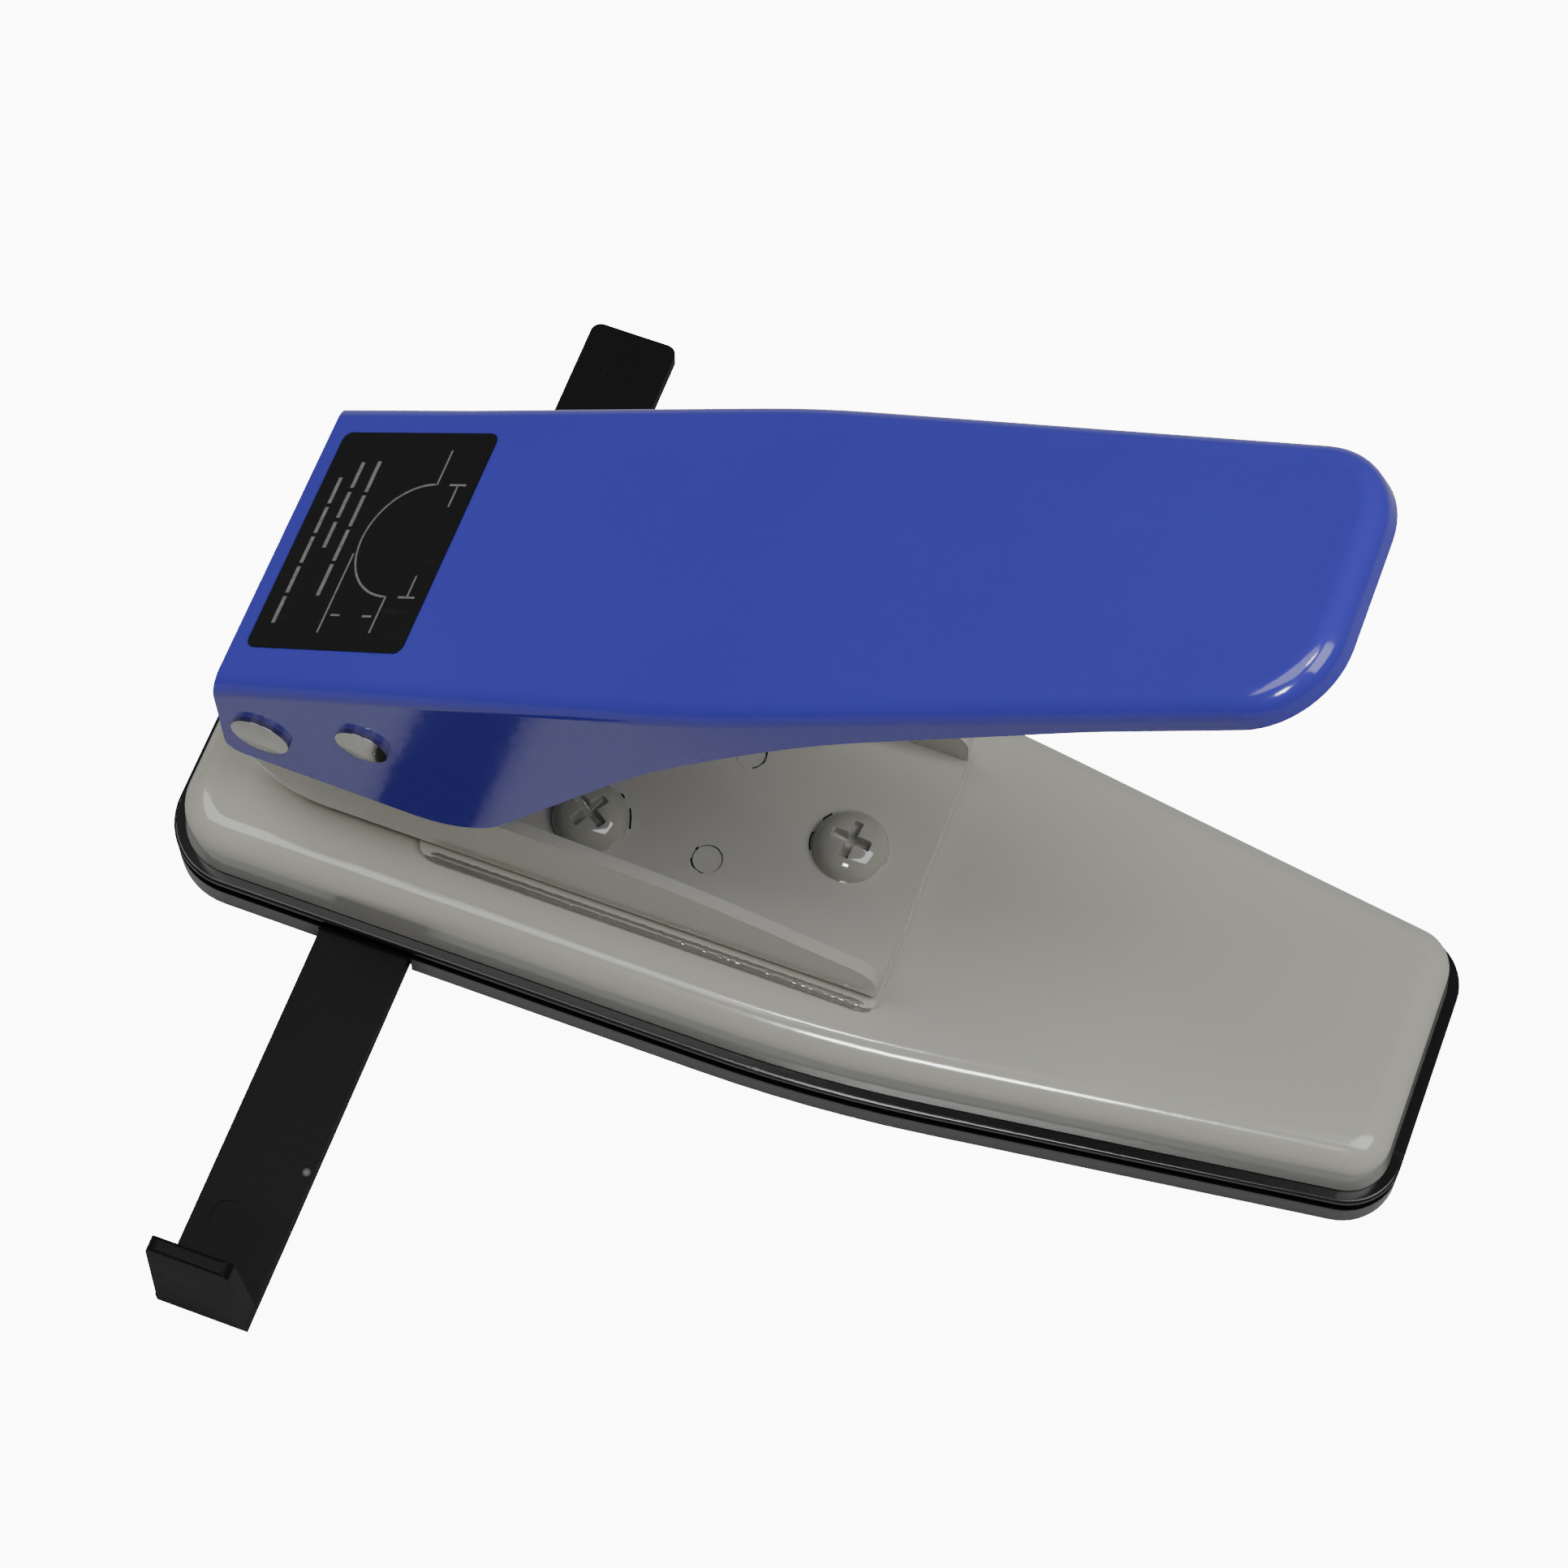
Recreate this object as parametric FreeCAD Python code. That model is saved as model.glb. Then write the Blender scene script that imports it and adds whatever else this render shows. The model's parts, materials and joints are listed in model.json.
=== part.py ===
import FreeCAD, Part
import math
import os

# Desktop semicircle punch: a lever drives a D-section blade through the edge of the paper.
# Frame: millimetres, +Z up, +X from the paper end to the free end of the handle, Y = 0 is
# the plane of symmetry. The origin is on the underside, below the middle of the base cover.

V = FreeCAD.Vector

# ---- driving dimensions -------------------------------------------------------------------
# Base cover, a pressed shell
cover_length = 195.8
cover_half_width = 33.1
cover_nose_half_width = 20.8
cover_bend_x = 10.6
cover_bend_radius = 260.0
cover_paper_corner = 10.0
cover_nose_corner = 7.0
cover_sheet = 1.8
cover_draft = 1.0
cover_edge_radius = 4.6
deck_height = 18.5

# Chip tray under the cover
ledge_width = 1.9
ledge_height = 8.3
ledge_edge_radius = 0.5
tray_wall = 1.6
tray_floor = 1.8
tray_groove_low = 4.9
tray_groove_high = 7.3
tray_groove_depth = 1.1
tray_lip_height = 2.6
tray_gap = 0.25

# Paper guide, a bar with an upright stop, and the keeper that holds it in the tray
guide_x = -63.6
guide_width = 15.0
guide_thickness = 2.8
guide_stop_y = -99.0
guide_far_y = 82.5
guide_stop_height = 27.9
guide_stop_thickness = 2.4
guide_stop_taper = 1.4
guide_stop_draft_front = 1.6
guide_stop_draft_rear = 0.2
guide_corner = 1.8
guide_side_gap = 0.3
guide_roof_gap = 0.4
guide_travel_in = 60.0
guide_travel_out = 40.0
guide_mark_radius = 2.8
keeper_sheet = 1.0
keeper_recess = 0.2
keeper_half_length = 20.0
keeper_lap = 8.0
keeper_pip_radius = 1.5
keeper_screw_radius = 1.25

# Paper slot and the plates that make it
slot_height = 1.5
back_stop_x = -58.4
back_stop_half_width = 23.4
back_stop_corner = 2.0
die_thickness = 4.0
die_margin = 6.0

# Bracket, a folded channel
bracket_sheet = 2.0
bracket_half_width = 22.1
bracket_front_x = -88.9
bracket_rear_x = 16.6
bracket_bend = 2.6
bracket_lip_radius = 12.0
bracket_lip_foot_x = -80.3
bracket_lip_rise = 13.4
bracket_rear_wall = 9.5
bracket_mid_x = -14.3
bracket_mid_wall = 16.3
bracket_saddle_wall = 19.6

# Fasteners of the bracket
screw_head_radius = 6.0
screw_head_height = 3.6
screw_head_edge = 2.9
recess_arm = 3.1
recess_web = 0.85
screw_radius = 3.0
screw_front_x = -34.8
screw_side_y = 9.55
screw_rear_x = 4.6
dowel_radius = 2.3
dowel_x = -15.4
dowel_recess = 0.3

# Lever
handle_tilt = 32.0
handle_length = 183.7
handle_sheet = 1.6
handle_root_half_width = 25.4
handle_root_length = 25.0
handle_mid_half_width = 26.1
handle_mid_at = 88.0
handle_end_half_width = 19.7
handle_end_corner = 12.5
handle_waist_radius = 250.0
handle_edge_radius = 3.0
flange_depth = 18.2
flange_lobe_at = 21.9
flange_lobe_depth = 40.4
flange_lobe_radius = 17.0
flange_neck_at = 87.2
flange_neck_radius = 140.0
rim_depth_neck = 8.4
rim_end_at = 150.0
rim_depth_end = 5.0
label_start = 3.2
label_length = 30.6
label_width = 38.2
label_offset = 0.7
label_thickness = 0.15
label_corner = 1.6

# Pivot and drive pins
pivot_x = -79.9
pivot_z = 51.0
pivot_from_edge = 0.0
pivot_depth = 13.0
drive_arm = 19.6
drive_depth = 14.1
pin_radius = 3.0
pivot_head_radius = 4.6
drive_head_radius = 4.1
pin_head_height = 1.1
pin_head_edge = 0.35
pin_head_crown = 0.3
press_angle = 22.0
ring_thickness = 0.8
washer_radius = 5.0
washer_gap = 0.2
drive_spacer_radius = 4.0
sleeve_radius = 4.5

# Punch, its holder and its guide
notch_width = 20.0
blade_overlap = 0.6
blade_rest_gap = 0.6
blade_seat_depth = 6.0
holder_margin = 3.4
holder_bottom = 49.5
holder_top_margin = 5.5
holder_side_gap = 0.5
guide_block_height = 11.0
guide_block_margin = 6.0
spring_radius = 2.6
spring_wire = 0.8
spring_y = 15.0
spring_turns = 8
spring_seat_depth = 2.0
blade_screw_radius = 2.0
block_screw_radius = 1.5
block_screw_length = 8.0

# Clearances
running = 0.06
loose = 0.25
slot_gap = 0.3
thread = 0.05

# ---- sizes that follow from them ----------------------------------------------------------
cover_bottom = ledge_height + tray_gap
half_length = cover_length / 2
slot_top = deck_height + slot_height
floor_top = slot_top + bracket_sheet
deck_under = deck_height - cover_sheet
die_bottom = deck_under - die_thickness
notch_radius = notch_width / 2
blade_flat_x = back_stop_x + blade_overlap
blade_tip = slot_top + blade_rest_gap
blade_front_x = back_stop_x - notch_radius
keeper_bottom = keeper_recess
keeper_top = keeper_bottom + keeper_sheet
guide_bottom = keeper_top + keeper_recess
guide_top = guide_bottom + guide_thickness
tunnel_roof = guide_top + guide_roof_gap
tunnel_half = guide_width / 2 + guide_side_gap
tunnel_block_top = tunnel_roof + tray_wall
flange_outer = handle_root_half_width
flange_inner = handle_root_half_width - handle_sheet
wall_inner = bracket_half_width - bracket_sheet
holder_front_x = blade_front_x - holder_margin
holder_rear_x = blade_flat_x + holder_margin
holder_half_width = wall_inner - holder_side_gap
holder_mid_x = (holder_front_x + holder_rear_x) / 2
block_top = floor_top + guide_block_height


def turn(along, depth):
    """World X and Z of a point of the lever, given along its top and below its top."""
    tilt = math.radians(handle_tilt)
    du = along - pivot_from_edge
    dw = pivot_depth - depth
    x = pivot_x + du * math.cos(tilt) - dw * math.sin(tilt)
    z = pivot_z + du * math.sin(tilt) + dw * math.cos(tilt)
    return x, z


drive_x, drive_z = turn(drive_arm, drive_depth)
arm_radius = math.hypot(drive_x - pivot_x, drive_z - pivot_z)
arm_angle = math.atan2(drive_z - pivot_z, drive_x - pivot_x)
arm_pressed = arm_angle - math.radians(press_angle)
drive_pressed_x = pivot_x + arm_radius * math.cos(arm_pressed)
stroke = drive_z - pivot_z - arm_radius * math.sin(arm_pressed)


# ---- shared helpers -----------------------------------------------------------------------
def rounded(points):
    """Closed wire through (x, y, radius) corners in the XY plane, with an arc at each corner."""
    edges = []
    starts = []
    ends = []
    count = len(points)
    for i in range(count):
        x, y, radius = points[i]
        here = V(x, y, 0)
        back = V(points[i - 1][0], points[i - 1][1], 0) - here
        ahead = V(points[(i + 1) % count][0], points[(i + 1) % count][1], 0) - here
        back.normalize()
        ahead.normalize()
        half_turn = back.getAngle(ahead) / 2
        reach = radius / math.tan(half_turn)
        starts.append(here + back * reach)
        ends.append(here + ahead * reach)
        if radius > 0:
            middle = back + ahead
            middle.normalize()
            crown = here + middle * (radius / math.sin(half_turn) - radius)
            edges.append(Part.Arc(starts[i], crown, ends[i]).toShape())
        else:
            edges.append(None)
    wire_edges = []
    for i in range(count):
        if edges[i] is not None:
            wire_edges.append(edges[i])
        following = starts[(i + 1) % count]
        if (following - ends[i]).Length > 1e-6:
            wire_edges.append(Part.LineSegment(ends[i], following).toShape())
    return Part.Wire(wire_edges)


def slab(wire, low, high):
    """Prism of an XY wire from height low to height high."""
    base = Part.Face(wire)
    base.translate(V(0, 0, low))
    return base.extrude(V(0, 0, high - low))


def side_prism(points, half_width):
    """Prism of an (x, z, radius) outline, symmetric about Y = 0."""
    face = Part.Face(rounded(points))
    face.rotate(V(0, 0, 0), V(1, 0, 0), 90)
    face.translate(V(0, half_width, 0))
    return face.extrude(V(0, -2 * half_width, 0))


def block(x0, x1, half_width, z0, z1):
    """Box from x0 to x1 and z0 to z1, symmetric about Y = 0."""
    return Part.makeBox(x1 - x0, 2 * half_width, z1 - z0, V(x0, -half_width, z0))


def post(radius, x, y, z0, z1):
    """Upright cylinder."""
    return Part.makeCylinder(radius, z1 - z0, V(x, y, z0))


def cross_bar(radius, x, z, y0, y1):
    """Cylinder along Y."""
    return Part.makeCylinder(radius, y1 - y0, V(x, y0, z), V(0, 1, 0))


def countersunk(x, y, z, radius, length, grow):
    """Upright screw with its flat head at the bottom, made larger all round by grow."""
    shank = post(radius + grow, x, y, z, z + length + grow)
    cone = Part.makeCone(2 * radius + grow, radius + grow, radius * 0.7, V(x, y, z))
    return shank.fuse(cone)


def base_outline(grow):
    """Plan of the base, moved outward by grow: parallel sides, a bend, then a taper."""
    run = half_length - cover_bend_x
    drop = cover_half_width - cover_nose_half_width
    slope = math.atan2(drop, run)
    bend_shift = grow * math.tan(slope / 2)
    nose_y = cover_nose_half_width + grow / math.cos(slope) - grow * math.tan(slope)
    side = [
        (-half_length - grow, cover_half_width + grow, cover_paper_corner + grow),
        (cover_bend_x + bend_shift, cover_half_width + grow, cover_bend_radius + grow),
        (half_length + grow, nose_y, cover_nose_corner + grow),
    ]
    mirrored = [(x, -y, radius) for x, y, radius in reversed(side)]
    return rounded(side + mirrored)


def edges_at(shape, height):
    """Edges that lie wholly at one height."""
    found = []
    for edge in shape.Edges:
        box = edge.BoundBox
        if abs(box.ZMin - height) < 1e-4 and abs(box.ZMax - height) < 1e-4:
            found.append(edge)
    return found


def edges_round(shape, y):
    """Edges that lie wholly at one Y."""
    found = []
    for edge in shape.Edges:
        if abs(edge.BoundBox.YMin - y) < 1e-4 and abs(edge.BoundBox.YMax - y) < 1e-4:
            found.append(edge)
    return found


def d_prism(grow, low, high):
    """Blade section, a half round with a flat back, moved outward by grow."""
    radius = notch_radius + grow
    flat = blade_flat_x + grow
    start = V(back_stop_x, radius, low)
    end = V(back_stop_x, -radius, low)
    front = V(back_stop_x - radius, 0, low)
    edges = [
        Part.Arc(start, front, end).toShape(),
        Part.LineSegment(end, V(flat, -radius, low)).toShape(),
        Part.LineSegment(V(flat, -radius, low), V(flat, radius, low)).toShape(),
        Part.LineSegment(V(flat, radius, low), start).toShape(),
    ]
    return Part.Face(Part.Wire(edges)).extrude(V(0, 0, high - low))


def place_on_lever(shape):
    """Move a shape from lever coordinates, with its top at height 0, to its place at rest."""
    placed = shape.copy()
    placed.translate(V(-pivot_from_edge, 0, pivot_depth))
    placed.rotate(V(0, 0, 0), V(0, 1, 0), -handle_tilt)
    placed.translate(V(pivot_x, 0, pivot_z))
    return placed


def frame_screw_spots():
    """Centres of the three bracket screws."""
    return [(screw_front_x, -screw_side_y), (screw_front_x, screw_side_y), (screw_rear_x, 0)]


def dowel_spots():
    """Centres of the two dowels."""
    return [(dowel_x, -screw_side_y), (dowel_x, screw_side_y)]


def spring_spots():
    """Centres of the two return springs."""
    return [(holder_mid_x, -spring_y), (holder_mid_x, spring_y)]


def block_screw_spots():
    """Centres of the four screws that hold the punch guide."""
    inset = 3.0
    front = holder_front_x - guide_block_margin / 2 + inset
    rear = holder_rear_x + guide_block_margin / 2 - inset
    return [(x, y) for x in (front, rear) for y in (-spring_y, spring_y)]


def keeper_screw_spots():
    """Centres of the four keeper screws."""
    dx = tunnel_half + keeper_lap / 2
    dy = keeper_half_length - keeper_lap / 2
    return [(guide_x + sx * dx, sy * dy) for sx in (-1, 1) for sy in (-1, 1)]


# ---- base ---------------------------------------------------------------------------------
def make_base_cover():
    """Pressed shell with drafted sides and a rounded top edge."""
    def shell(inset, bottom, top, edge_radius):
        low = base_outline(-inset)
        low.translate(V(0, 0, bottom))
        high = base_outline(-inset - cover_draft)
        high.translate(V(0, 0, top))
        body = Part.makeLoft([low, high], True, True)
        return body.makeFillet(edge_radius, edges_at(body, top))

    outer = shell(0, cover_bottom, deck_height, cover_edge_radius)
    inner = shell(cover_sheet, cover_bottom, deck_under, cover_edge_radius - cover_sheet)
    cover = outer.cut(inner)
    pad = die_pad(loose)
    cover = cover.cut(slab(pad, deck_under - 1, deck_height + 1))
    for x, y in frame_screw_spots():
        cover = cover.cut(post(screw_radius + loose, x, y, deck_under - 1, deck_height + 1))
    return cover


def make_chip_tray():
    """Moulded tray with a ledge for the cover, a shadow groove and the guide's tunnel."""
    body = slab(base_outline(ledge_width), 0, ledge_height)
    body = body.makeFillet(ledge_edge_radius, edges_at(body, ledge_height))
    outer = slab(base_outline(ledge_width + 5), tray_groove_low, tray_groove_high)
    core = slab(base_outline(ledge_width - tray_groove_depth), tray_groove_low, tray_groove_high)
    body = body.cut(outer.cut(core))
    lip_outer = -cover_sheet - cover_draft / 2 - tray_gap
    lip = slab(base_outline(lip_outer), tray_floor, ledge_height + tray_lip_height)
    body = body.fuse(lip)
    body = body.cut(slab(base_outline(lip_outer - tray_wall), tray_floor, ledge_height + 5))
    across = cover_half_width + 10
    housing_half = tunnel_half + keeper_lap
    housing = block(guide_x - housing_half, guide_x + housing_half, cover_half_width - 1,
                    0, tunnel_block_top)
    body = body.fuse(housing.common(slab(base_outline(-1), 0, tunnel_block_top)))
    tunnel = block(guide_x - tunnel_half, guide_x + tunnel_half, across, -1, tunnel_roof)
    body = body.cut(tunnel)
    seat = block(guide_x - housing_half, guide_x + housing_half,
                 keeper_half_length + loose, -1, keeper_top)
    body = body.cut(seat)
    for x, y in keeper_screw_spots():
        body = body.cut(keeper_screw(x, y, thread))
    return body.removeSplitter()


def make_guide_keeper():
    """Flat plate under the guide, with a pip that runs in the guide's groove."""
    half = tunnel_half + keeper_lap - loose
    plate = block(guide_x - half, guide_x + half, keeper_half_length, keeper_bottom, keeper_top)
    pip_top = guide_bottom + guide_thickness / 3
    plate = plate.fuse(post(keeper_pip_radius, guide_x, 0, keeper_bottom, pip_top))
    for x, y in keeper_screw_spots():
        plate = plate.cut(keeper_screw(x, y, thread))
    return plate


def keeper_screw(x, y, grow):
    """Countersunk screw that holds the keeper to the tray."""
    length = tunnel_roof - keeper_bottom
    return countersunk(x, y, keeper_bottom, keeper_screw_radius, length, grow)


def make_keeper_screws():
    """Four screws, their heads level with the keeper."""
    return Part.makeCompound([keeper_screw(x, y, 0) for x, y in keeper_screw_spots()])


def make_paper_guide():
    """Flat bar with an upright stop at the near end and a limit groove underneath."""
    left = guide_x - guide_width / 2
    right = guide_x + guide_width / 2
    stop_inner = guide_stop_y + guide_stop_thickness + guide_stop_taper
    plan = rounded([(left, guide_stop_y, 0), (right, guide_stop_y, 0),
                    (right, guide_far_y, guide_corner), (left, guide_far_y, guide_corner)])
    bar = slab(plan, guide_bottom, guide_top)
    face = Part.Face(rounded([(left, guide_bottom, 0), (right, guide_bottom, 0),
                              (right - guide_stop_draft_rear, guide_stop_height, guide_corner),
                              (left + guide_stop_draft_front, guide_stop_height, guide_corner)]))
    face.rotate(V(0, 0, 0), V(1, 0, 0), 90)
    face.translate(V(0, stop_inner, 0))
    stop = face.extrude(V(0, guide_stop_y - stop_inner, 0))
    stop_top_y = guide_stop_y + guide_stop_thickness
    side = Part.Face(rounded([(guide_stop_y, guide_bottom, 0), (stop_inner, guide_bottom, 0),
                              (stop_top_y, guide_stop_height, 0.6),
                              (guide_stop_y, guide_stop_height, 0.6)]))
    side.rotate(V(0, 0, 0), V(1, 1, 1), 120)
    side.translate(V(left - 1, 0, 0))
    stop = stop.common(side.extrude(V(guide_width + 2, 0, 0)))
    guide = bar.fuse(stop).removeSplitter()
    reach = keeper_pip_radius + loose
    groove_top = guide_bottom + guide_thickness / 3 + loose
    groove = rounded([(guide_x - reach, -guide_travel_in - reach, 0),
                      (guide_x + reach, -guide_travel_in - reach, 0),
                      (guide_x + reach, guide_travel_out + reach, 0),
                      (guide_x - reach, guide_travel_out + reach, 0)])
    guide = guide.cut(slab(groove, guide_bottom - 1, groove_top))
    mark_y = stop_inner + 4 * guide_mark_radius
    mark_depth = 0.15
    mark = post(guide_mark_radius, guide_x - 2, mark_y, guide_top - mark_depth, guide_top + 1)
    return guide.cut(mark)


# ---- cutting set --------------------------------------------------------------------------
def die_pad(grow):
    """Plan of the raised land that brings the die's edge level with the deck."""
    front = blade_front_x - die_margin / 2 - grow
    rear = blade_flat_x + die_margin / 2 + grow
    half = notch_radius + die_margin / 2 + grow
    corner = 2.0 + grow
    return rounded([(front, -half, corner), (rear, -half, corner),
                    (rear, half, corner), (front, half, corner)])


def make_die_plate():
    """Steel plate under the deck with the die opening and the tapped holes."""
    front = blade_front_x - 2 * die_margin
    rear = screw_rear_x + 2 * screw_radius + die_margin / 2
    half = wall_inner
    plan = rounded([(front, -half, 3), (rear, -half, 3), (rear, half, 3), (front, half, 3)])
    plate = slab(plan, die_bottom, deck_under)
    plate = plate.fuse(slab(die_pad(0), deck_under, deck_height))
    plate = plate.cut(d_prism(running, die_bottom - 1, deck_height + 1))
    relief = 0.5
    plate = plate.cut(d_prism(relief, die_bottom - 1, deck_under - 1))
    for x, y in frame_screw_spots():
        plate = plate.cut(post(screw_radius + thread, x, y, die_bottom - 1, deck_height + 1))
    return plate.removeSplitter()


def make_back_stop_plate():
    """Spacer between deck and bracket: its front edge stops the paper."""
    half = back_stop_half_width
    rear = bracket_rear_x + loose * 2
    corner = back_stop_corner
    plan = rounded([(back_stop_x, -half, corner), (rear, -half, corner),
                    (rear, half, corner), (back_stop_x, half, corner)])
    plate = slab(plan, deck_height, slot_top)
    recess = notch_radius + 1
    plate = plate.cut(block(back_stop_x - 1, blade_flat_x + 1, recess, 0, slot_top + 1))
    for x, y in frame_screw_spots():
        plate = plate.cut(post(screw_radius + loose, x, y, 0, slot_top + 1))
    for x, y in dowel_spots():
        plate = plate.cut(post(dowel_radius, x, y, 0, slot_top + 1))
    return plate


# ---- bracket ------------------------------------------------------------------------------
def make_bracket():
    """Folded channel: floor with a turned-up paper lip, and walls with pivot ears."""
    ear = washer_radius + 2.5
    rear_top = slot_top + bracket_rear_wall
    front_x = bracket_front_x
    ear_rear_x = pivot_x + ear
    foot_x = bracket_lip_foot_x
    profile = [
        (front_x, slot_top + bracket_lip_rise, 0),
        (foot_x, slot_top, bracket_lip_radius),
        (bracket_rear_x, slot_top, 0),
        (bracket_rear_x, rear_top, 4.5),
        (bracket_mid_x, slot_top + bracket_mid_wall, 120),
        (ear_rear_x, slot_top + bracket_saddle_wall, 4),
        (ear_rear_x, pivot_z + ear, ear - 0.5),
        (front_x, pivot_z + ear, ear - 0.5),
    ]
    outer = side_prism(profile, bracket_half_width)
    rim = []
    for edge in outer.Edges:
        box = edge.BoundBox
        on_side = abs(abs(box.YMin) - bracket_half_width) < 1e-4 and box.YLength < 1e-4
        below_lip = box.ZMax < slot_top + bracket_lip_rise + 1e-3
        at_bend = box.ZMin < slot_top + 1e-3 or box.XMax < foot_x
        if on_side and below_lip and at_bend and box.XLength > 1e-3:
            rim.append(edge)
    outer = outer.makeFillet(bracket_bend, rim)
    lip_angle = math.atan2(bracket_lip_rise, foot_x - front_x)
    inner_foot_x = foot_x + bracket_sheet * math.tan(lip_angle / 2)
    rise = pivot_z + 2 * ear - floor_top
    hollow = [
        (inner_foot_x - rise / math.tan(lip_angle), floor_top + rise, 0),
        (inner_foot_x, floor_top, bracket_lip_radius - bracket_sheet),
        (bracket_rear_x + 5, floor_top, 0),
        (bracket_rear_x + 5, floor_top + rise, 0),
    ]
    channel = outer.cut(side_prism(hollow, wall_inner))
    channel = channel.cut(cross_bar(pin_radius + running, pivot_x, pivot_z, -40, 40))
    channel = channel.cut(d_prism(loose, slot_top - 1, floor_top + 1))
    for x, y in frame_screw_spots():
        channel = channel.cut(post(screw_radius + loose, x, y, slot_top - 1, floor_top + 1))
    for x, y in dowel_spots():
        channel = channel.cut(post(dowel_radius + loose / 2, x, y, slot_top - 1, floor_top + 1))
    for x, y in block_screw_spots():
        channel = channel.cut(block_screw(x, y, thread))
    return channel


def make_frame_screws():
    """Three pan-head cross-recess screws."""
    screws = []
    head_top = floor_top + screw_head_height
    recess_depth = screw_head_height * 0.6
    low = head_top - recess_depth
    spread = (recess_arm - recess_web) * (recess_depth + 1) / recess_depth
    for x, y in frame_screw_spots():
        shank = post(screw_radius, x, y, die_bottom + 0.5, floor_top)
        head = post(screw_head_radius, x, y, floor_top, head_top)
        head = head.makeFillet(screw_head_edge, edges_at(head, head_top))
        funnel = Part.makeCone(recess_web, recess_web + spread, recess_depth + 1, V(x, y, low))
        for length, width in ((recess_arm, recess_web), (recess_web, recess_arm)):
            cut = Part.makeBox(2 * length, 2 * width, recess_depth + 1,
                               V(x - length, y - width, low))
            head = head.cut(cut.common(funnel))
        screws.append(shank.fuse(head).removeSplitter())
    return Part.makeCompound(screws)


def make_dowel_pins():
    """Two dowels that line the bracket up with the spacer."""
    pins = []
    for x, y in dowel_spots():
        pins.append(post(dowel_radius, x, y, deck_height, floor_top - dowel_recess))
    return Part.makeCompound(pins)


# ---- punch --------------------------------------------------------------------------------
def block_screw(x, y, grow):
    """Countersunk screw that enters the bracket floor from below."""
    return countersunk(x, y, slot_top, block_screw_radius, block_screw_length, grow)


def make_punch_guide():
    """Block on the bracket floor that the blade slides in."""
    front = holder_front_x - guide_block_margin / 2
    rear = holder_rear_x + guide_block_margin / 2
    guide = block(front, rear, holder_half_width, floor_top, block_top)
    guide = guide.cut(d_prism(running, floor_top - 1, block_top + 1))
    for x, y in spring_spots():
        seat = post(spring_outer() + loose, x, y, block_top - spring_seat_depth, block_top + 1)
        guide = guide.cut(seat)
    for x, y in block_screw_spots():
        guide = guide.cut(block_screw(x, y, thread))
    return guide


def make_guide_block_screws():
    """Four countersunk screws of the punch guide."""
    return Part.makeCompound([block_screw(x, y, 0) for x, y in block_screw_spots()])


def make_punch_blade():
    """Hardened blade with a half-round section."""
    return d_prism(0, blade_tip, holder_bottom + blade_seat_depth)


def make_punch_holder():
    """Crosshead: a slot for the drive pin above, a seat for the blade below."""
    top = drive_z + holder_top_margin
    holder = block(holder_front_x, holder_rear_x, holder_half_width, holder_bottom, top)
    slot_half = pin_radius + slot_gap
    slot = rounded([
        (drive_x - slot_half - loose, drive_z - slot_half, slot_half - 0.01),
        (drive_pressed_x + slot_half + loose, drive_z - slot_half, slot_half - 0.01),
        (drive_pressed_x + slot_half + loose, drive_z + slot_half, slot_half - 0.01),
        (drive_x - slot_half - loose, drive_z + slot_half, slot_half - 0.01),
    ])
    face = Part.Face(slot)
    face.rotate(V(0, 0, 0), V(1, 0, 0), 90)
    face.translate(V(0, 30, 0))
    holder = holder.cut(face.extrude(V(0, -60, 0)))
    holder = holder.cut(d_prism(thread, holder_bottom - 1, holder_bottom + blade_seat_depth))
    screw = blade_screw(thread)
    holder = holder.cut(screw)
    for x, y in spring_spots():
        seat = post(spring_outer() + loose, x, y, holder_bottom - 1,
                    holder_bottom + spring_seat_depth)
        holder = holder.cut(seat)
    return holder


def blade_screw(grow):
    """Short screw that clamps the blade in its seat."""
    height = holder_bottom + blade_seat_depth / 2
    return Part.makeCylinder(blade_screw_radius + grow, holder_margin - thread + grow,
                             V(holder_front_x - grow, 0, height), V(1, 0, 0))


def make_blade_screw():
    """The blade's clamping screw."""
    return blade_screw(0)


def spring_outer():
    """Outer radius of a return spring."""
    return spring_radius + spring_wire / 2


def make_return_springs():
    """Two compression springs between the punch guide and the holder."""
    bottom = block_top - spring_seat_depth + spring_wire / 2
    top = holder_bottom + spring_seat_depth - spring_wire / 2
    pitch = (top - bottom) / spring_turns
    springs = []
    for x, y in spring_spots():
        helix = Part.makeHelix(pitch, top - bottom, spring_radius)
        section = Part.Wire(Part.Circle(V(spring_radius, 0, 0), V(0, 1, 0),
                                        spring_wire / 2 - 0.01).toShape())
        coil = Part.Wire(helix.Edges).makePipeShell([section], True, True)
        coil.translate(V(x, y, bottom))
        springs.append(coil)
    return Part.makeCompound(springs)


# ---- lever --------------------------------------------------------------------------------
def handle_outline(inset):
    """Plan of the lever's channel, moved inward by inset."""
    tail = 16.0
    root = handle_root_half_width - inset
    side = [
        (-tail, root, 0),
        (handle_root_length, root, handle_waist_radius),
        (handle_mid_at, handle_mid_half_width - inset, handle_waist_radius),
        (handle_length - inset, handle_end_half_width - inset, handle_end_corner - inset),
    ]
    mirrored = [(x, -y, radius) for x, y, radius in reversed(side)]
    return rounded(side + mirrored)


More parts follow.
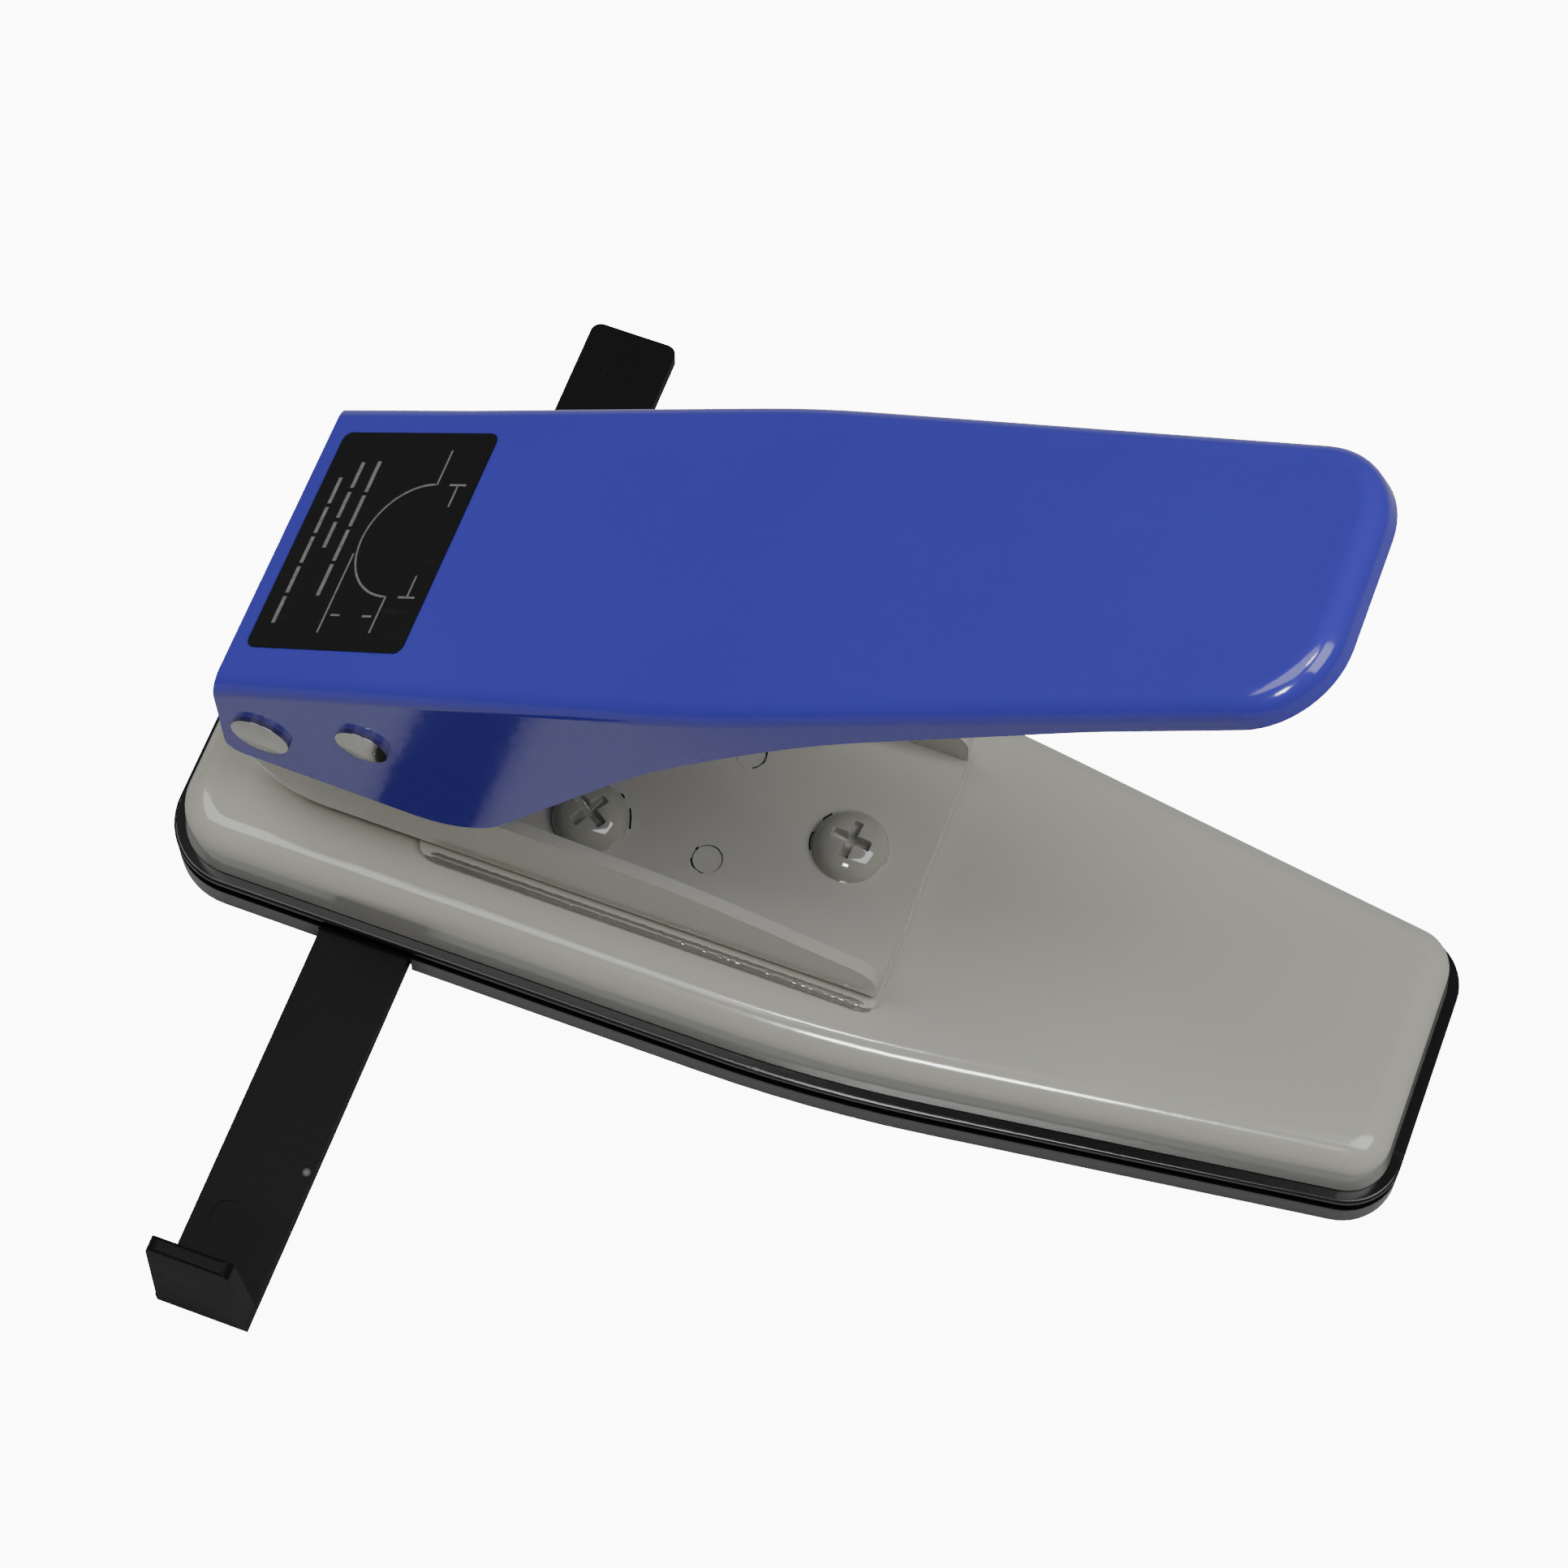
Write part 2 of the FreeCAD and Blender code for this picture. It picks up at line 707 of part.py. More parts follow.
def make_handle():
    """Pressed channel: a broad top, deep flanges at the pivot and a shallow rim all round."""
    deep = flange_lobe_depth + 2
    outer = slab(handle_outline(0), -deep, 0)
    outer = outer.makeFillet(handle_edge_radius, long_top_edges(outer, 0))
    inner = slab(handle_outline(handle_sheet), -deep - 1, -handle_sheet)
    inner = inner.makeFillet(handle_edge_radius - handle_sheet,
                             long_top_edges(inner, -handle_sheet))
    channel = outer.cut(inner)
    lean = math.tan(math.radians(handle_tilt))
    above = 2.0
    beyond = handle_length + 10
    profile = [
        (lean * above, above, 0),
        (-lean * flange_depth, -flange_depth, 3),
        (flange_lobe_at, -flange_lobe_depth, flange_lobe_radius),
        (flange_neck_at, -rim_depth_neck, flange_neck_radius),
        (rim_end_at, -rim_depth_end, flange_neck_radius),
        (beyond, -rim_depth_end, 0),
        (beyond, above, 0),
    ]
    channel = channel.common(side_prism(profile, handle_mid_half_width + 5))
    for along, depth in ((pivot_from_edge, pivot_depth), (drive_arm, drive_depth)):
        channel = channel.cut(cross_bar(pin_radius + thread, along, -depth, -40, 40))
    return place_on_lever(channel)


def long_top_edges(shape, height):
    """Edges at one height, without the straight one across the open end."""
    kept = []
    for edge in edges_at(shape, height):
        if edge.BoundBox.XMax > -1:
            kept.append(edge)
    return kept


def make_handle_label():
    """Thin label on the handle near its pivot end."""
    low_y = label_offset - label_width / 2
    high_y = label_offset + label_width / 2
    end = label_start + label_length
    plan = rounded([(label_start, low_y, label_corner), (end, low_y, label_corner),
                    (end, high_y, label_corner), (label_start, high_y, label_corner)])
    return place_on_lever(slab(plan, 0, label_thickness))


def headed_pin(x, z, head_radius):
    """Pin along Y with a domed head at the near side and a ring groove at the far side."""
    far_end = flange_outer + loose + ring_thickness + 1.2
    shank = cross_bar(pin_radius, x, z, -flange_outer, far_end)
    face_y = -flange_outer - pin_head_height
    head = cross_bar(head_radius, x, z, face_y, -flange_outer)
    head = head.makeFillet(pin_head_edge, edges_round(head, face_y))
    ball = (head_radius ** 2 + pin_head_crown ** 2) / (2 * pin_head_crown)
    head = head.common(Part.makeSphere(ball, V(x, face_y + ball, z)))
    pin = shank.fuse(head)
    groove = ring(x, z, pin_radius - 0.6, pin_radius + 1, loose)
    return pin.cut(groove).removeSplitter()


def ring(x, z, inner, outer, gap):
    """Flat ring in the groove just outside the far flange."""
    start = flange_outer + gap / 2
    body = cross_bar(outer, x, z, start, start + ring_thickness)
    return body.cut(cross_bar(inner, x, z, start - 1, start + ring_thickness + 1))


def make_pivot_pin():
    """Pin that the lever turns on."""
    return headed_pin(pivot_x, pivot_z, pivot_head_radius)


def make_drive_pin():
    """Pin that pushes the punch holder down."""
    return headed_pin(drive_x, drive_z, drive_head_radius)


def make_retaining_rings():
    """Two rings that keep the pins in."""
    rings = []
    for x, z in ((pivot_x, pivot_z), (drive_x, drive_z)):
        rings.append(ring(x, z, pin_radius - 0.55, pin_radius + 2, loose))
    return Part.makeCompound(rings)


def tube_pair(x, z, inner, outer, y0, y1):
    """Two equal rings along Y, mirrored about Y = 0."""
    pair = []
    for low, high in ((y0, y1), (-y1, -y0)):
        body = cross_bar(outer, x, z, low, high)
        pair.append(body.cut(cross_bar(inner, x, z, low - 1, high + 1)))
    return Part.makeCompound(pair)


def make_pivot_washers():
    """Washers between the flanges and the bracket walls."""
    return tube_pair(pivot_x, pivot_z, pin_radius + thread, washer_radius,
                     bracket_half_width + washer_gap, flange_inner)


def make_drive_spacers():
    """Spacers that centre the punch holder between the flanges."""
    return tube_pair(drive_x, drive_z, pin_radius + thread, drive_spacer_radius,
                     holder_half_width + loose, flange_inner)


def make_pivot_sleeve():
    """Tube that holds the bracket walls apart at the pivot."""
    sleeve = cross_bar(sleeve_radius, pivot_x, pivot_z, -wall_inner, wall_inner)
    return sleeve.cut(cross_bar(pin_radius + running, pivot_x, pivot_z, -40, 40))


# ---- write --------------------------------------------------------------------------------
MAKERS = {
    "base_cover": make_base_cover,
    "chip_tray": make_chip_tray,
    "guide_keeper": make_guide_keeper,
    "keeper_screws": make_keeper_screws,
    "paper_guide": make_paper_guide,
    "die_plate": make_die_plate,
    "back_stop_plate": make_back_stop_plate,
    "bracket": make_bracket,
    "frame_screws": make_frame_screws,
    "dowel_pins": make_dowel_pins,
    "punch_guide": make_punch_guide,
    "guide_block_screws": make_guide_block_screws,
    "punch_blade": make_punch_blade,
    "punch_holder": make_punch_holder,
    "blade_screw": make_blade_screw,
    "return_springs": make_return_springs,
    "handle": make_handle,
    "handle_label": make_handle_label,
    "pivot_pin": make_pivot_pin,
    "drive_pin": make_drive_pin,
    "retaining_rings": make_retaining_rings,
    "pivot_washers": make_pivot_washers,
    "drive_spacers": make_drive_spacers,
    "pivot_sleeve": make_pivot_sleeve,
}

os.makedirs("parts", exist_ok=True)
for name, maker in MAKERS.items():
    shape = maker()
    shape.exportStep("parts/" + name + ".step")
    print(name, "solids", len(shape.Solids), "volume", round(shape.Volume, 1), shape.isValid())
print("stroke", round(stroke, 3), "per radian", round(stroke / math.radians(press_angle), 3))
print("drive pin at rest", round(drive_x, 2), round(drive_z, 2))
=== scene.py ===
# %% [markdown]
# # A desktop notch punch, from frame to finish
# This punch bites a half-round notch into the edge of a sheet. A long pressed-steel handle
# turns on a pin in a folded bracket, and its second pin drives the blade down.
# The shapes and the joints come from CAD. Blender gives them their finishes, rounds the
# edges that paint has softened, and adds the printed diagram on the label.
#
# The first cell loads the CAD pieces and bakes each one's place into its own mesh, with no
# parent.

import json
import math

import bmesh
import bpy
import numpy as np
from mathutils import Matrix, Vector


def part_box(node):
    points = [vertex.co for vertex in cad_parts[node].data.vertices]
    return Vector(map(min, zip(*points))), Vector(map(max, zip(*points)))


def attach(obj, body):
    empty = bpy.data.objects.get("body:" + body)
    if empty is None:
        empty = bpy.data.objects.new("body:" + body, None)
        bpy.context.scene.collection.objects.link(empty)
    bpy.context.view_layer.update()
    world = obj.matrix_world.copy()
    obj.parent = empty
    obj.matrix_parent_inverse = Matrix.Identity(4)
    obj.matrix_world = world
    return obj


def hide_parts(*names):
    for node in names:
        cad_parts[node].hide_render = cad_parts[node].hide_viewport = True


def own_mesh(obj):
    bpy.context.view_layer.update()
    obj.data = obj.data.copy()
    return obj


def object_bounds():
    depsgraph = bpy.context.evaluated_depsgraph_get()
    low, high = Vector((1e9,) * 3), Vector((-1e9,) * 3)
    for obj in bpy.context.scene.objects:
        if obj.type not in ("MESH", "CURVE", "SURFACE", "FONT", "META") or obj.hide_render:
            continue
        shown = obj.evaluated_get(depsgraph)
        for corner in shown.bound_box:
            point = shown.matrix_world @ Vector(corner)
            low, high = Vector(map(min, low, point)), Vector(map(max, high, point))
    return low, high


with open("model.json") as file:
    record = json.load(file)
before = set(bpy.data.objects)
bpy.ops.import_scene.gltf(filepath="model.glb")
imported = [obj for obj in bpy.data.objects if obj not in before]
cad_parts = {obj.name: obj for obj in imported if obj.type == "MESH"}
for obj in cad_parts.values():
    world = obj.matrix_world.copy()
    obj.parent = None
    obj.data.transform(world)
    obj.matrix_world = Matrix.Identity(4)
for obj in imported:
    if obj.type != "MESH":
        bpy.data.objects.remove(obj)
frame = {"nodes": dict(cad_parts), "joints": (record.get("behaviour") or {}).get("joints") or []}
CAD_BOX = [list(corner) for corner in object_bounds()]
NODES = frame["nodes"]
JOINTS = {joint["name"]: joint for joint in frame["joints"]}
MM = 0.001
print("pieces", len(NODES), "box", [[round(c, 4) for c in corner] for corner in CAD_BOX])

# %% [markdown]
# ## The camera
# A long lens from well above keeps the outlines nearly parallel, as a catalogue picture
# does. A camera could be aimed with a Track To constraint, but its matrix is as easy to
# write from three directions: right, up and back. A small roll about the line of sight
# finishes it.

# %% camera
CAMERA_PLACE = Vector((0.08839, -0.25810, 0.64613))
CAMERA_BACK = Vector((0.1419, -0.3863, 0.9114)).normalized()
CAMERA_ROLL = math.radians(0.41)
LENS_MM = 101.33
SENSOR_MM = 36.0


def add_camera():
    """A camera whose -Z looks along minus CAMERA_BACK, rolled a little about that line."""
    flat_right = Vector((0.0, 0.0, 1.0)).cross(CAMERA_BACK).normalized()
    flat_up = CAMERA_BACK.cross(flat_right).normalized()
    right = math.cos(CAMERA_ROLL) * flat_right + math.sin(CAMERA_ROLL) * flat_up
    up = CAMERA_BACK.cross(right).normalized()
    data = bpy.data.cameras.new("camera")
    data.lens = LENS_MM
    data.sensor_width = SENSOR_MM
    data.clip_end = 20.0
    camera = bpy.data.objects.new("camera", data)
    turned = Matrix((right, up, CAMERA_BACK)).transposed().to_4x4()
    camera.matrix_world = Matrix.Translation(CAMERA_PLACE) @ turned
    bpy.context.scene.collection.objects.link(camera)
    bpy.context.scene.camera = camera
    return camera


camera = add_camera()
print("camera at", [round(c, 3) for c in camera.location])

# %% [markdown]
# ## Nodes without the mouse
# Every material below is a small node tree. Two helpers keep the code short: one adds a
# node and fills in its settings and sockets, the other draws a wire between two nodes.

# %% node helpers
def add_node(tree, kind, sockets=None, **settings):
    """A node of one kind, with its settings and the values of its input sockets."""
    made = tree.nodes.new(kind)
    for key, value in settings.items():
        setattr(made, key, value)
    for key, value in (sockets or {}).items():
        made.inputs[key].default_value = value
    return made


def wire(tree, source, output, target, socket):
    """A link from an output of source to an input socket of target."""
    tree.links.new(source.outputs[output], target.inputs[socket])


def blank_material(name):
    """A material that holds only its Principled shader, its output and object coordinates."""
    material = bpy.data.materials.new(name)
    material.use_nodes = True
    tree = material.node_tree
    shader = tree.nodes["Principled BSDF"]
    where = add_node(tree, "ShaderNodeTexCoord")
    return material, tree, shader, where


# %% [markdown]
# ## Floor and light
# The object stands on a plain white sweep. A white floor that is bright enough to look
# white would also throw a lot of light up on the object, so the floor has two shaders: the
# eye sees the bright one, and the light bounces off the quieter one. From below the floor is
# clear, so that the underside can be looked at.

# %% floor
def add_floor():
    """A square of floor at the lowest point of the object."""
    half = 6.0
    low = CAD_BOX[0][2]
    corners = [(-half, -half, low), (half, -half, low), (half, half, low), (-half, half, low)]
    mesh = bpy.data.meshes.new("floor")
    mesh.from_pydata(corners, [], [(0, 1, 2, 3)])
    floor = bpy.data.objects.new("floor", mesh)
    bpy.context.scene.collection.objects.link(floor)
    material, tree, seen, _ = blank_material("white_sweep")
    seen.inputs["Base Color"].default_value = (0.95, 0.95, 0.95, 1.0)
    seen.inputs["Roughness"].default_value = 0.9
    seen.inputs["Emission Color"].default_value = (1.0, 1.0, 1.0, 1.0)
    seen.inputs["Emission Strength"].default_value = FLOOR_GLOW
    bounced = add_node(tree, "ShaderNodeBsdfPrincipled",
                       {"Base Color": (0.42, 0.42, 0.415, 1.0), "Roughness": 0.9})
    path = add_node(tree, "ShaderNodeLightPath")
    choose = add_node(tree, "ShaderNodeMixShader")
    wire(tree, path, "Is Camera Ray", choose, "Fac")
    wire(tree, bounced, "BSDF", choose, 1)
    wire(tree, seen, "BSDF", choose, 2)
    side = add_node(tree, "ShaderNodeNewGeometry")
    clear = add_node(tree, "ShaderNodeBsdfTransparent")
    one_way = add_node(tree, "ShaderNodeMixShader")
    wire(tree, side, "Backfacing", one_way, "Fac")
    wire(tree, choose, "Shader", one_way, 1)
    wire(tree, clear, "BSDF", one_way, 2)
    wire(tree, one_way, "Shader", tree.nodes["Material Output"], "Surface")
    mesh.materials.append(material)


FLOOR_GLOW = 10.0
add_floor()
print("floor at", round(CAD_BOX[0][2], 4))

# %% [markdown]
# Two broad panels give the even light of a light tent. A small panel and a tube are for the
# gloss: paint shows a bright line wherever its rounded edges mirror a lamp, so each stands
# where the near edge of the base turns it into such a line. They are left out of the diffuse
# light, so that they add no second set of shadows. The world is dim for the object and as
# white as the floor for the eye.

# %% lights
def add_area_light(name, place, aim, size, watts):
    """A rectangular soft box at place that faces aim, its long side level."""
    data = bpy.data.lights.new(name, "AREA")
    data.shape = "RECTANGLE"
    data.size, data.size_y = size
    data.energy = watts
    light = bpy.data.objects.new(name, data)
    light.location = place
    facing = Vector(aim) - Vector(place)
    light.rotation_mode = "QUATERNION"
    light.rotation_quaternion = facing.to_track_quat("-Z", "Y")
    bpy.context.scene.collection.objects.link(light)
    return light


MIDDLE = (0.0, 0.0, 0.03)
TENT_SIZE = (0.9, 1.1)
WORLD_GLOW = 0.15
add_area_light("tent_left", (-0.70, -0.05, 1.50), MIDDLE, TENT_SIZE, 13.0)
add_area_light("tent_right", (0.75, -0.05, 1.45), MIDDLE, TENT_SIZE, 17.5)
for name, place, size, watts in (("front_panel", (0.05, -0.98, 1.30), (0.28, 0.24), 17.0),
                                 ("high_tube", (-0.10, 0.05, 1.60), (0.26, 0.07), 6.5)):
    gloss_lamp = add_area_light(name, place, MIDDLE, size, watts)
    gloss_lamp.visible_diffuse = False
world = bpy.data.worlds.new("studio")
world.use_nodes = True
surround = world.node_tree
ambient = surround.nodes["Background"]
ambient.inputs["Color"].default_value = (1, 1, 1, 1)
ambient.inputs["Strength"].default_value = WORLD_GLOW
backdrop = add_node(surround, "ShaderNodeBackground", {"Strength": FLOOR_GLOW})
path = add_node(surround, "ShaderNodeLightPath")
choose = add_node(surround, "ShaderNodeMixShader")
wire(surround, path, "Is Camera Ray", choose, "Fac")
wire(surround, ambient, "Background", choose, 1)
wire(surround, backdrop, "Background", choose, 2)
wire(surround, choose, "Shader", surround.nodes["World Output"], "Surface")
bpy.context.scene.world = world

# %% [markdown]
# ## Effects that several finishes share
# A node group is built once and placed in each material with its own numbers.
# The first is the skin of sprayed enamel. Wet paint flows into a faint orange-peel
# relief, and a few grains of dust are caught under it. The relief could be painted as a
# texture, but noise in object space has the same scale on every piece, with no seams.

# %% group: sprayed skin
def new_group(name, inputs, outputs):
    """An empty shader node group with float or vector sockets."""
    group = bpy.data.node_groups.new(name, "ShaderNodeTree")
    for label, kind, value in inputs:
        socket = group.interface.new_socket(label, in_out="INPUT", socket_type=kind)
        if value is not None:
            socket.default_value = value
    for label in outputs:
        group.interface.new_socket(label, in_out="OUTPUT", socket_type="NodeSocketFloat")
    return group, add_node(group, "NodeGroupInput"), add_node(group, "NodeGroupOutput")


def build_sprayed_skin():
    """Height is peel noise plus caught dust, and Drift is a slow change from 0 to 1."""
    group, given, result = new_group(
        "sprayed_skin",
        [("Vector", "NodeSocketVector", None), ("Peel Scale", "NodeSocketFloat", 400.0),
         ("Dust Scale", "NodeSocketFloat", 90.0), ("Dust Share", "NodeSocketFloat", 0.05)],
        ["Height", "Drift", "Dust"])
    peel = add_node(group, "ShaderNodeTexNoise", {"Detail": 2.0, "Roughness": 0.45})
    wire(group, given, "Vector", peel, "Vector")
    wire(group, given, "Peel Scale", peel, "Scale")
    drift = add_node(group, "ShaderNodeTexNoise", {"Scale": 14.0, "Detail": 3.0})
    wire(group, given, "Vector", drift, "Vector")
    spread = add_node(group, "ShaderNodeMapRange", {"From Min": 0.3, "From Max": 0.7})
    wire(group, drift, "Fac", spread, "Value")
    grains = add_node(group, "ShaderNodeTexVoronoi")
    wire(group, given, "Vector", grains, "Vector")
    wire(group, given, "Dust Scale", grains, "Scale")
    chance = add_node(group, "ShaderNodeSeparateColor")
    wire(group, grains, "Color", chance, "Color")
    picked = add_node(group, "ShaderNodeMath", operation="LESS_THAN")
    wire(group, chance, "Red", picked, 0)
    wire(group, given, "Dust Share", picked, 1)
    size = add_node(group, "ShaderNodeMapRange",
                    {"From Min": 0.03, "From Max": 0.12, "To Min": 1.0, "To Max": 0.0})
    wire(group, grains, "Distance", size, "Value")
    dust = add_node(group, "ShaderNodeMath", operation="MULTIPLY")
    wire(group, picked, "Value", dust, 0)
    wire(group, size, "Result", dust, 1)
    total = add_node(group, "ShaderNodeMath", {1: 0.8}, operation="MULTIPLY_ADD")
    wire(group, dust, "Value", total, 0)
    wire(group, peel, "Fac", total, 2)
    wire(group, total, "Value", result, "Height")
    wire(group, spread, "Result", result, "Drift")
    wire(group, dust, "Value", result, "Dust")
    return group


SPRAYED_SKIN = build_sprayed_skin()
print("group", SPRAYED_SKIN.name)

# %% [markdown]
# Where a screw head or a dowel meets the painted floor, the paint film cracks when the
# screw is tightened, and the dark gap shows in short pieces. The crack is a thin ring
# around a centre, broken up by noise. A ring is a distance in plan compared with a radius.

# %% group: cracked ring
def build_cracked_ring():
    """Mask is 1 where | plan distance to Centre - Radius | < Width and noise is high."""
    group, given, result = new_group(
        "cracked_ring",
        [("Vector", "NodeSocketVector", None), ("Centre", "NodeSocketVector", None),
         ("Radius", "NodeSocketFloat", 0.006), ("Width", "NodeSocketFloat", 0.0002),
         ("Missing", "NodeSocketFloat", 0.5)],
        ["Mask"])
    offset = add_node(group, "ShaderNodeVectorMath", operation="SUBTRACT")
    wire(group, given, "Vector", offset, 0)
    wire(group, given, "Centre", offset, 1)
    flat = add_node(group, "ShaderNodeVectorMath", {1: (1.0, 1.0, 0.0)}, operation="MULTIPLY")
    wire(group, offset, "Vector", flat, 0)
    reach = add_node(group, "ShaderNodeVectorMath", operation="LENGTH")
    wire(group, flat, "Vector", reach, 0)
    wobble = add_node(group, "ShaderNodeTexNoise", {"Scale": 320.0, "Detail": 3.0})
    wire(group, given, "Vector", wobble, "Vector")
    shaken = add_node(group, "ShaderNodeMath", {1: 0.0005}, operation="MULTIPLY_ADD")
    wire(group, wobble, "Fac", shaken, 0)
    wire(group, reach, "Value", shaken, 2)
    off_ring = add_node(group, "ShaderNodeMath", operation="SUBTRACT")
    wire(group, shaken, "Value", off_ring, 0)
    wire(group, given, "Radius", off_ring, 1)
    distance = add_node(group, "ShaderNodeMath", operation="ABSOLUTE")
    wire(group, off_ring, "Value", distance, 0)
    on_ring = add_node(group, "ShaderNodeMath", operation="LESS_THAN")
    wire(group, distance, "Value", on_ring, 0)
    wire(group, given, "Width", on_ring, 1)
    patches = add_node(group, "ShaderNodeTexNoise", {"Scale": 170.0, "Detail": 1.0})
    wire(group, given, "Vector", patches, "Vector")
    kept = add_node(group, "ShaderNodeMath", operation="GREATER_THAN")
    wire(group, patches, "Fac", kept, 0)
    wire(group, given, "Missing", kept, 1)
    mask = add_node(group, "ShaderNodeMath", operation="MULTIPLY")
    wire(group, on_ring, "Value", mask, 0)
    wire(group, kept, "Value", mask, 1)
    wire(group, mask, "Value", result, "Mask")
    return group


CRACKED_RING = build_cracked_ring()
print("group", CRACKED_RING.name)

# %% [markdown]
# Black plastic and the label pick up hairline scratches and pale dust from handling. A
# scratch is noise that is stretched hard in one direction and cut at a high level.

# %% group: handling marks
def build_handling_marks():
    """Scratch is stretched noise above a level, Dust is sparse cells, Haze is slow noise."""
    group, given, result = new_group(
        "handling_marks",
        [("Vector", "NodeSocketVector", None), ("Stretch", "NodeSocketVector", (40, 400, 400)),
         ("Level", "NodeSocketFloat", 0.68), ("Dust Scale", "NodeSocketFloat", 260.0),
         ("Dust Share", "NodeSocketFloat", 0.03)],
        ["Scratch", "Dust", "Haze"])
    long_way = add_node(group, "ShaderNodeVectorMath", operation="MULTIPLY")
    wire(group, given, "Vector", long_way, 0)
    wire(group, given, "Stretch", long_way, 1)
    lines = add_node(group, "ShaderNodeTexNoise", {"Scale": 1.0, "Detail": 4.0})
    wire(group, long_way, "Vector", lines, "Vector")
    cut = add_node(group, "ShaderNodeMapRange", {"From Max": 0.8})
    wire(group, lines, "Fac", cut, "Value")
    wire(group, given, "Level", cut, "From Min")
    wire(group, cut, "Result", result, "Scratch")
    grains = add_node(group, "ShaderNodeTexVoronoi")
    wire(group, given, "Vector", grains, "Vector")
    wire(group, given, "Dust Scale", grains, "Scale")
    chance = add_node(group, "ShaderNodeSeparateColor")
    wire(group, grains, "Color", chance, "Color")
    picked = add_node(group, "ShaderNodeMath", operation="LESS_THAN")
    wire(group, chance, "Green", picked, 0)
    wire(group, given, "Dust Share", picked, 1)
    size = add_node(group, "ShaderNodeMapRange",
                    {"From Min": 0.05, "From Max": 0.2, "To Min": 1.0, "To Max": 0.0})
    wire(group, grains, "Distance", size, "Value")
    dust = add_node(group, "ShaderNodeMath", operation="MULTIPLY")
    wire(group, picked, "Value", dust, 0)
    wire(group, size, "Result", dust, 1)
    wire(group, dust, "Value", result, "Dust")
    haze = add_node(group, "ShaderNodeTexNoise", {"Scale": 35.0, "Detail": 4.0})
    wire(group, given, "Vector", haze, "Vector")
    wire(group, haze, "Fac", result, "Haze")
    return group


HANDLING_MARKS = build_handling_marks()
print("group", HANDLING_MARKS.name)

# %% [markdown]
# Turned and ground steel keeps the tool's path as fine lines. Round pieces have rings about
# their axis, and plates have straight lines. Both are waves of a distance: from the axis for
# rings, along one direction for lines. Noise moves the lines so that none is perfect.

# %% group: tool marks
def build_tool_marks():
    """Height is a sine of (distance scaled by Axis Mask) with noise added to the distance."""
    group, given, result = new_group(
        "tool_marks",
        [("Vector", "NodeSocketVector", None), ("Centre", "NodeSocketVector", None),
         ("Axis Mask", "NodeSocketVector", (1, 0, 1)), ("Pitch", "NodeSocketFloat", 9000.0)],
        ["Height", "Tone"])
    offset = add_node(group, "ShaderNodeVectorMath", operation="SUBTRACT")
    wire(group, given, "Vector", offset, 0)
    wire(group, given, "Centre", offset, 1)
    masked = add_node(group, "ShaderNodeVectorMath", operation="MULTIPLY")
    wire(group, offset, "Vector", masked, 0)
    wire(group, given, "Axis Mask", masked, 1)
    reach = add_node(group, "ShaderNodeVectorMath", operation="LENGTH")
    wire(group, masked, "Vector", reach, 0)
    wobble = add_node(group, "ShaderNodeTexNoise", {"Scale": 300.0, "Detail": 2.0})
    wire(group, given, "Vector", wobble, "Vector")
    moved = add_node(group, "ShaderNodeMath", {1: 0.0008}, operation="MULTIPLY_ADD")
    wire(group, wobble, "Fac", moved, 0)
    wire(group, reach, "Value", moved, 2)
    turns = add_node(group, "ShaderNodeMath", operation="MULTIPLY")
    wire(group, moved, "Value", turns, 0)
    wire(group, given, "Pitch", turns, 1)
    rings = add_node(group, "ShaderNodeMath", operation="SINE")
    wire(group, turns, "Value", rings, 0)
    wire(group, rings, "Value", result, "Height")
    tone = add_node(group, "ShaderNodeTexNoise", {"Scale": 120.0, "Detail": 5.0})
    wire(group, given, "Vector", tone, "Vector")
    wire(group, tone, "Fac", result, "Tone")
    return group


TOOL_MARKS = build_tool_marks()
print("group", TOOL_MARKS.name)

# %% [markdown]
# ## Enamel finishes
# The base, the bracket and the screws in it are sprayed together in one warm grey, and the
# handle in a deep blue. Both are gloss enamel: a coloured film under a hard clear skin. The
# colour drifts slightly with the film's thickness, dust shows as small dark points, and the
# roughness drifts too, so a highlight is never one even shape.

# %% enamel
def place_group(tree, group, where, sockets):
    """The group as a node that reads object coordinates, with its own socket values."""
    made = add_node(tree, "ShaderNodeGroup", node_tree=group)
    for key, value in sockets.items():
        made.inputs[key].default_value = value
    wire(tree, where, "Object", made, "Vector")
    return made


def mix_colours(tree, mask, output, first, second):
    """A colour that goes from first to second with a mask. Either may be a node's output."""
    mix = add_node(tree, "ShaderNodeMix", data_type="RGBA")
    wire(tree, mask, output, mix, 0)
    for socket, colour in ((6, first), (7, second)):
        if isinstance(colour, tuple):
            mix.inputs[socket].default_value = (*colour, 1.0)
        else:
            tree.links.new(colour, mix.inputs[socket])
    return mix


def vary(tree, mask, output, low, high, shader, socket):
    """Drives a shader socket from low to high with a mask."""
    range_node = add_node(tree, "ShaderNodeMapRange", {"To Min": low, "To Max": high})
    wire(tree, mask, output, range_node, "Value")
    wire(tree, range_node, "Result", shader, socket)


def add_bump(tree, source, output, shader, depth):
    """Turns a height into a change of normal, with its depth in metres."""
    bump = add_node(tree, "ShaderNodeBump", {"Strength": 1.0, "Distance": depth})
    wire(tree, source, output, bump, "Height")
    wire(tree, bump, "Normal", shader, "Normal")


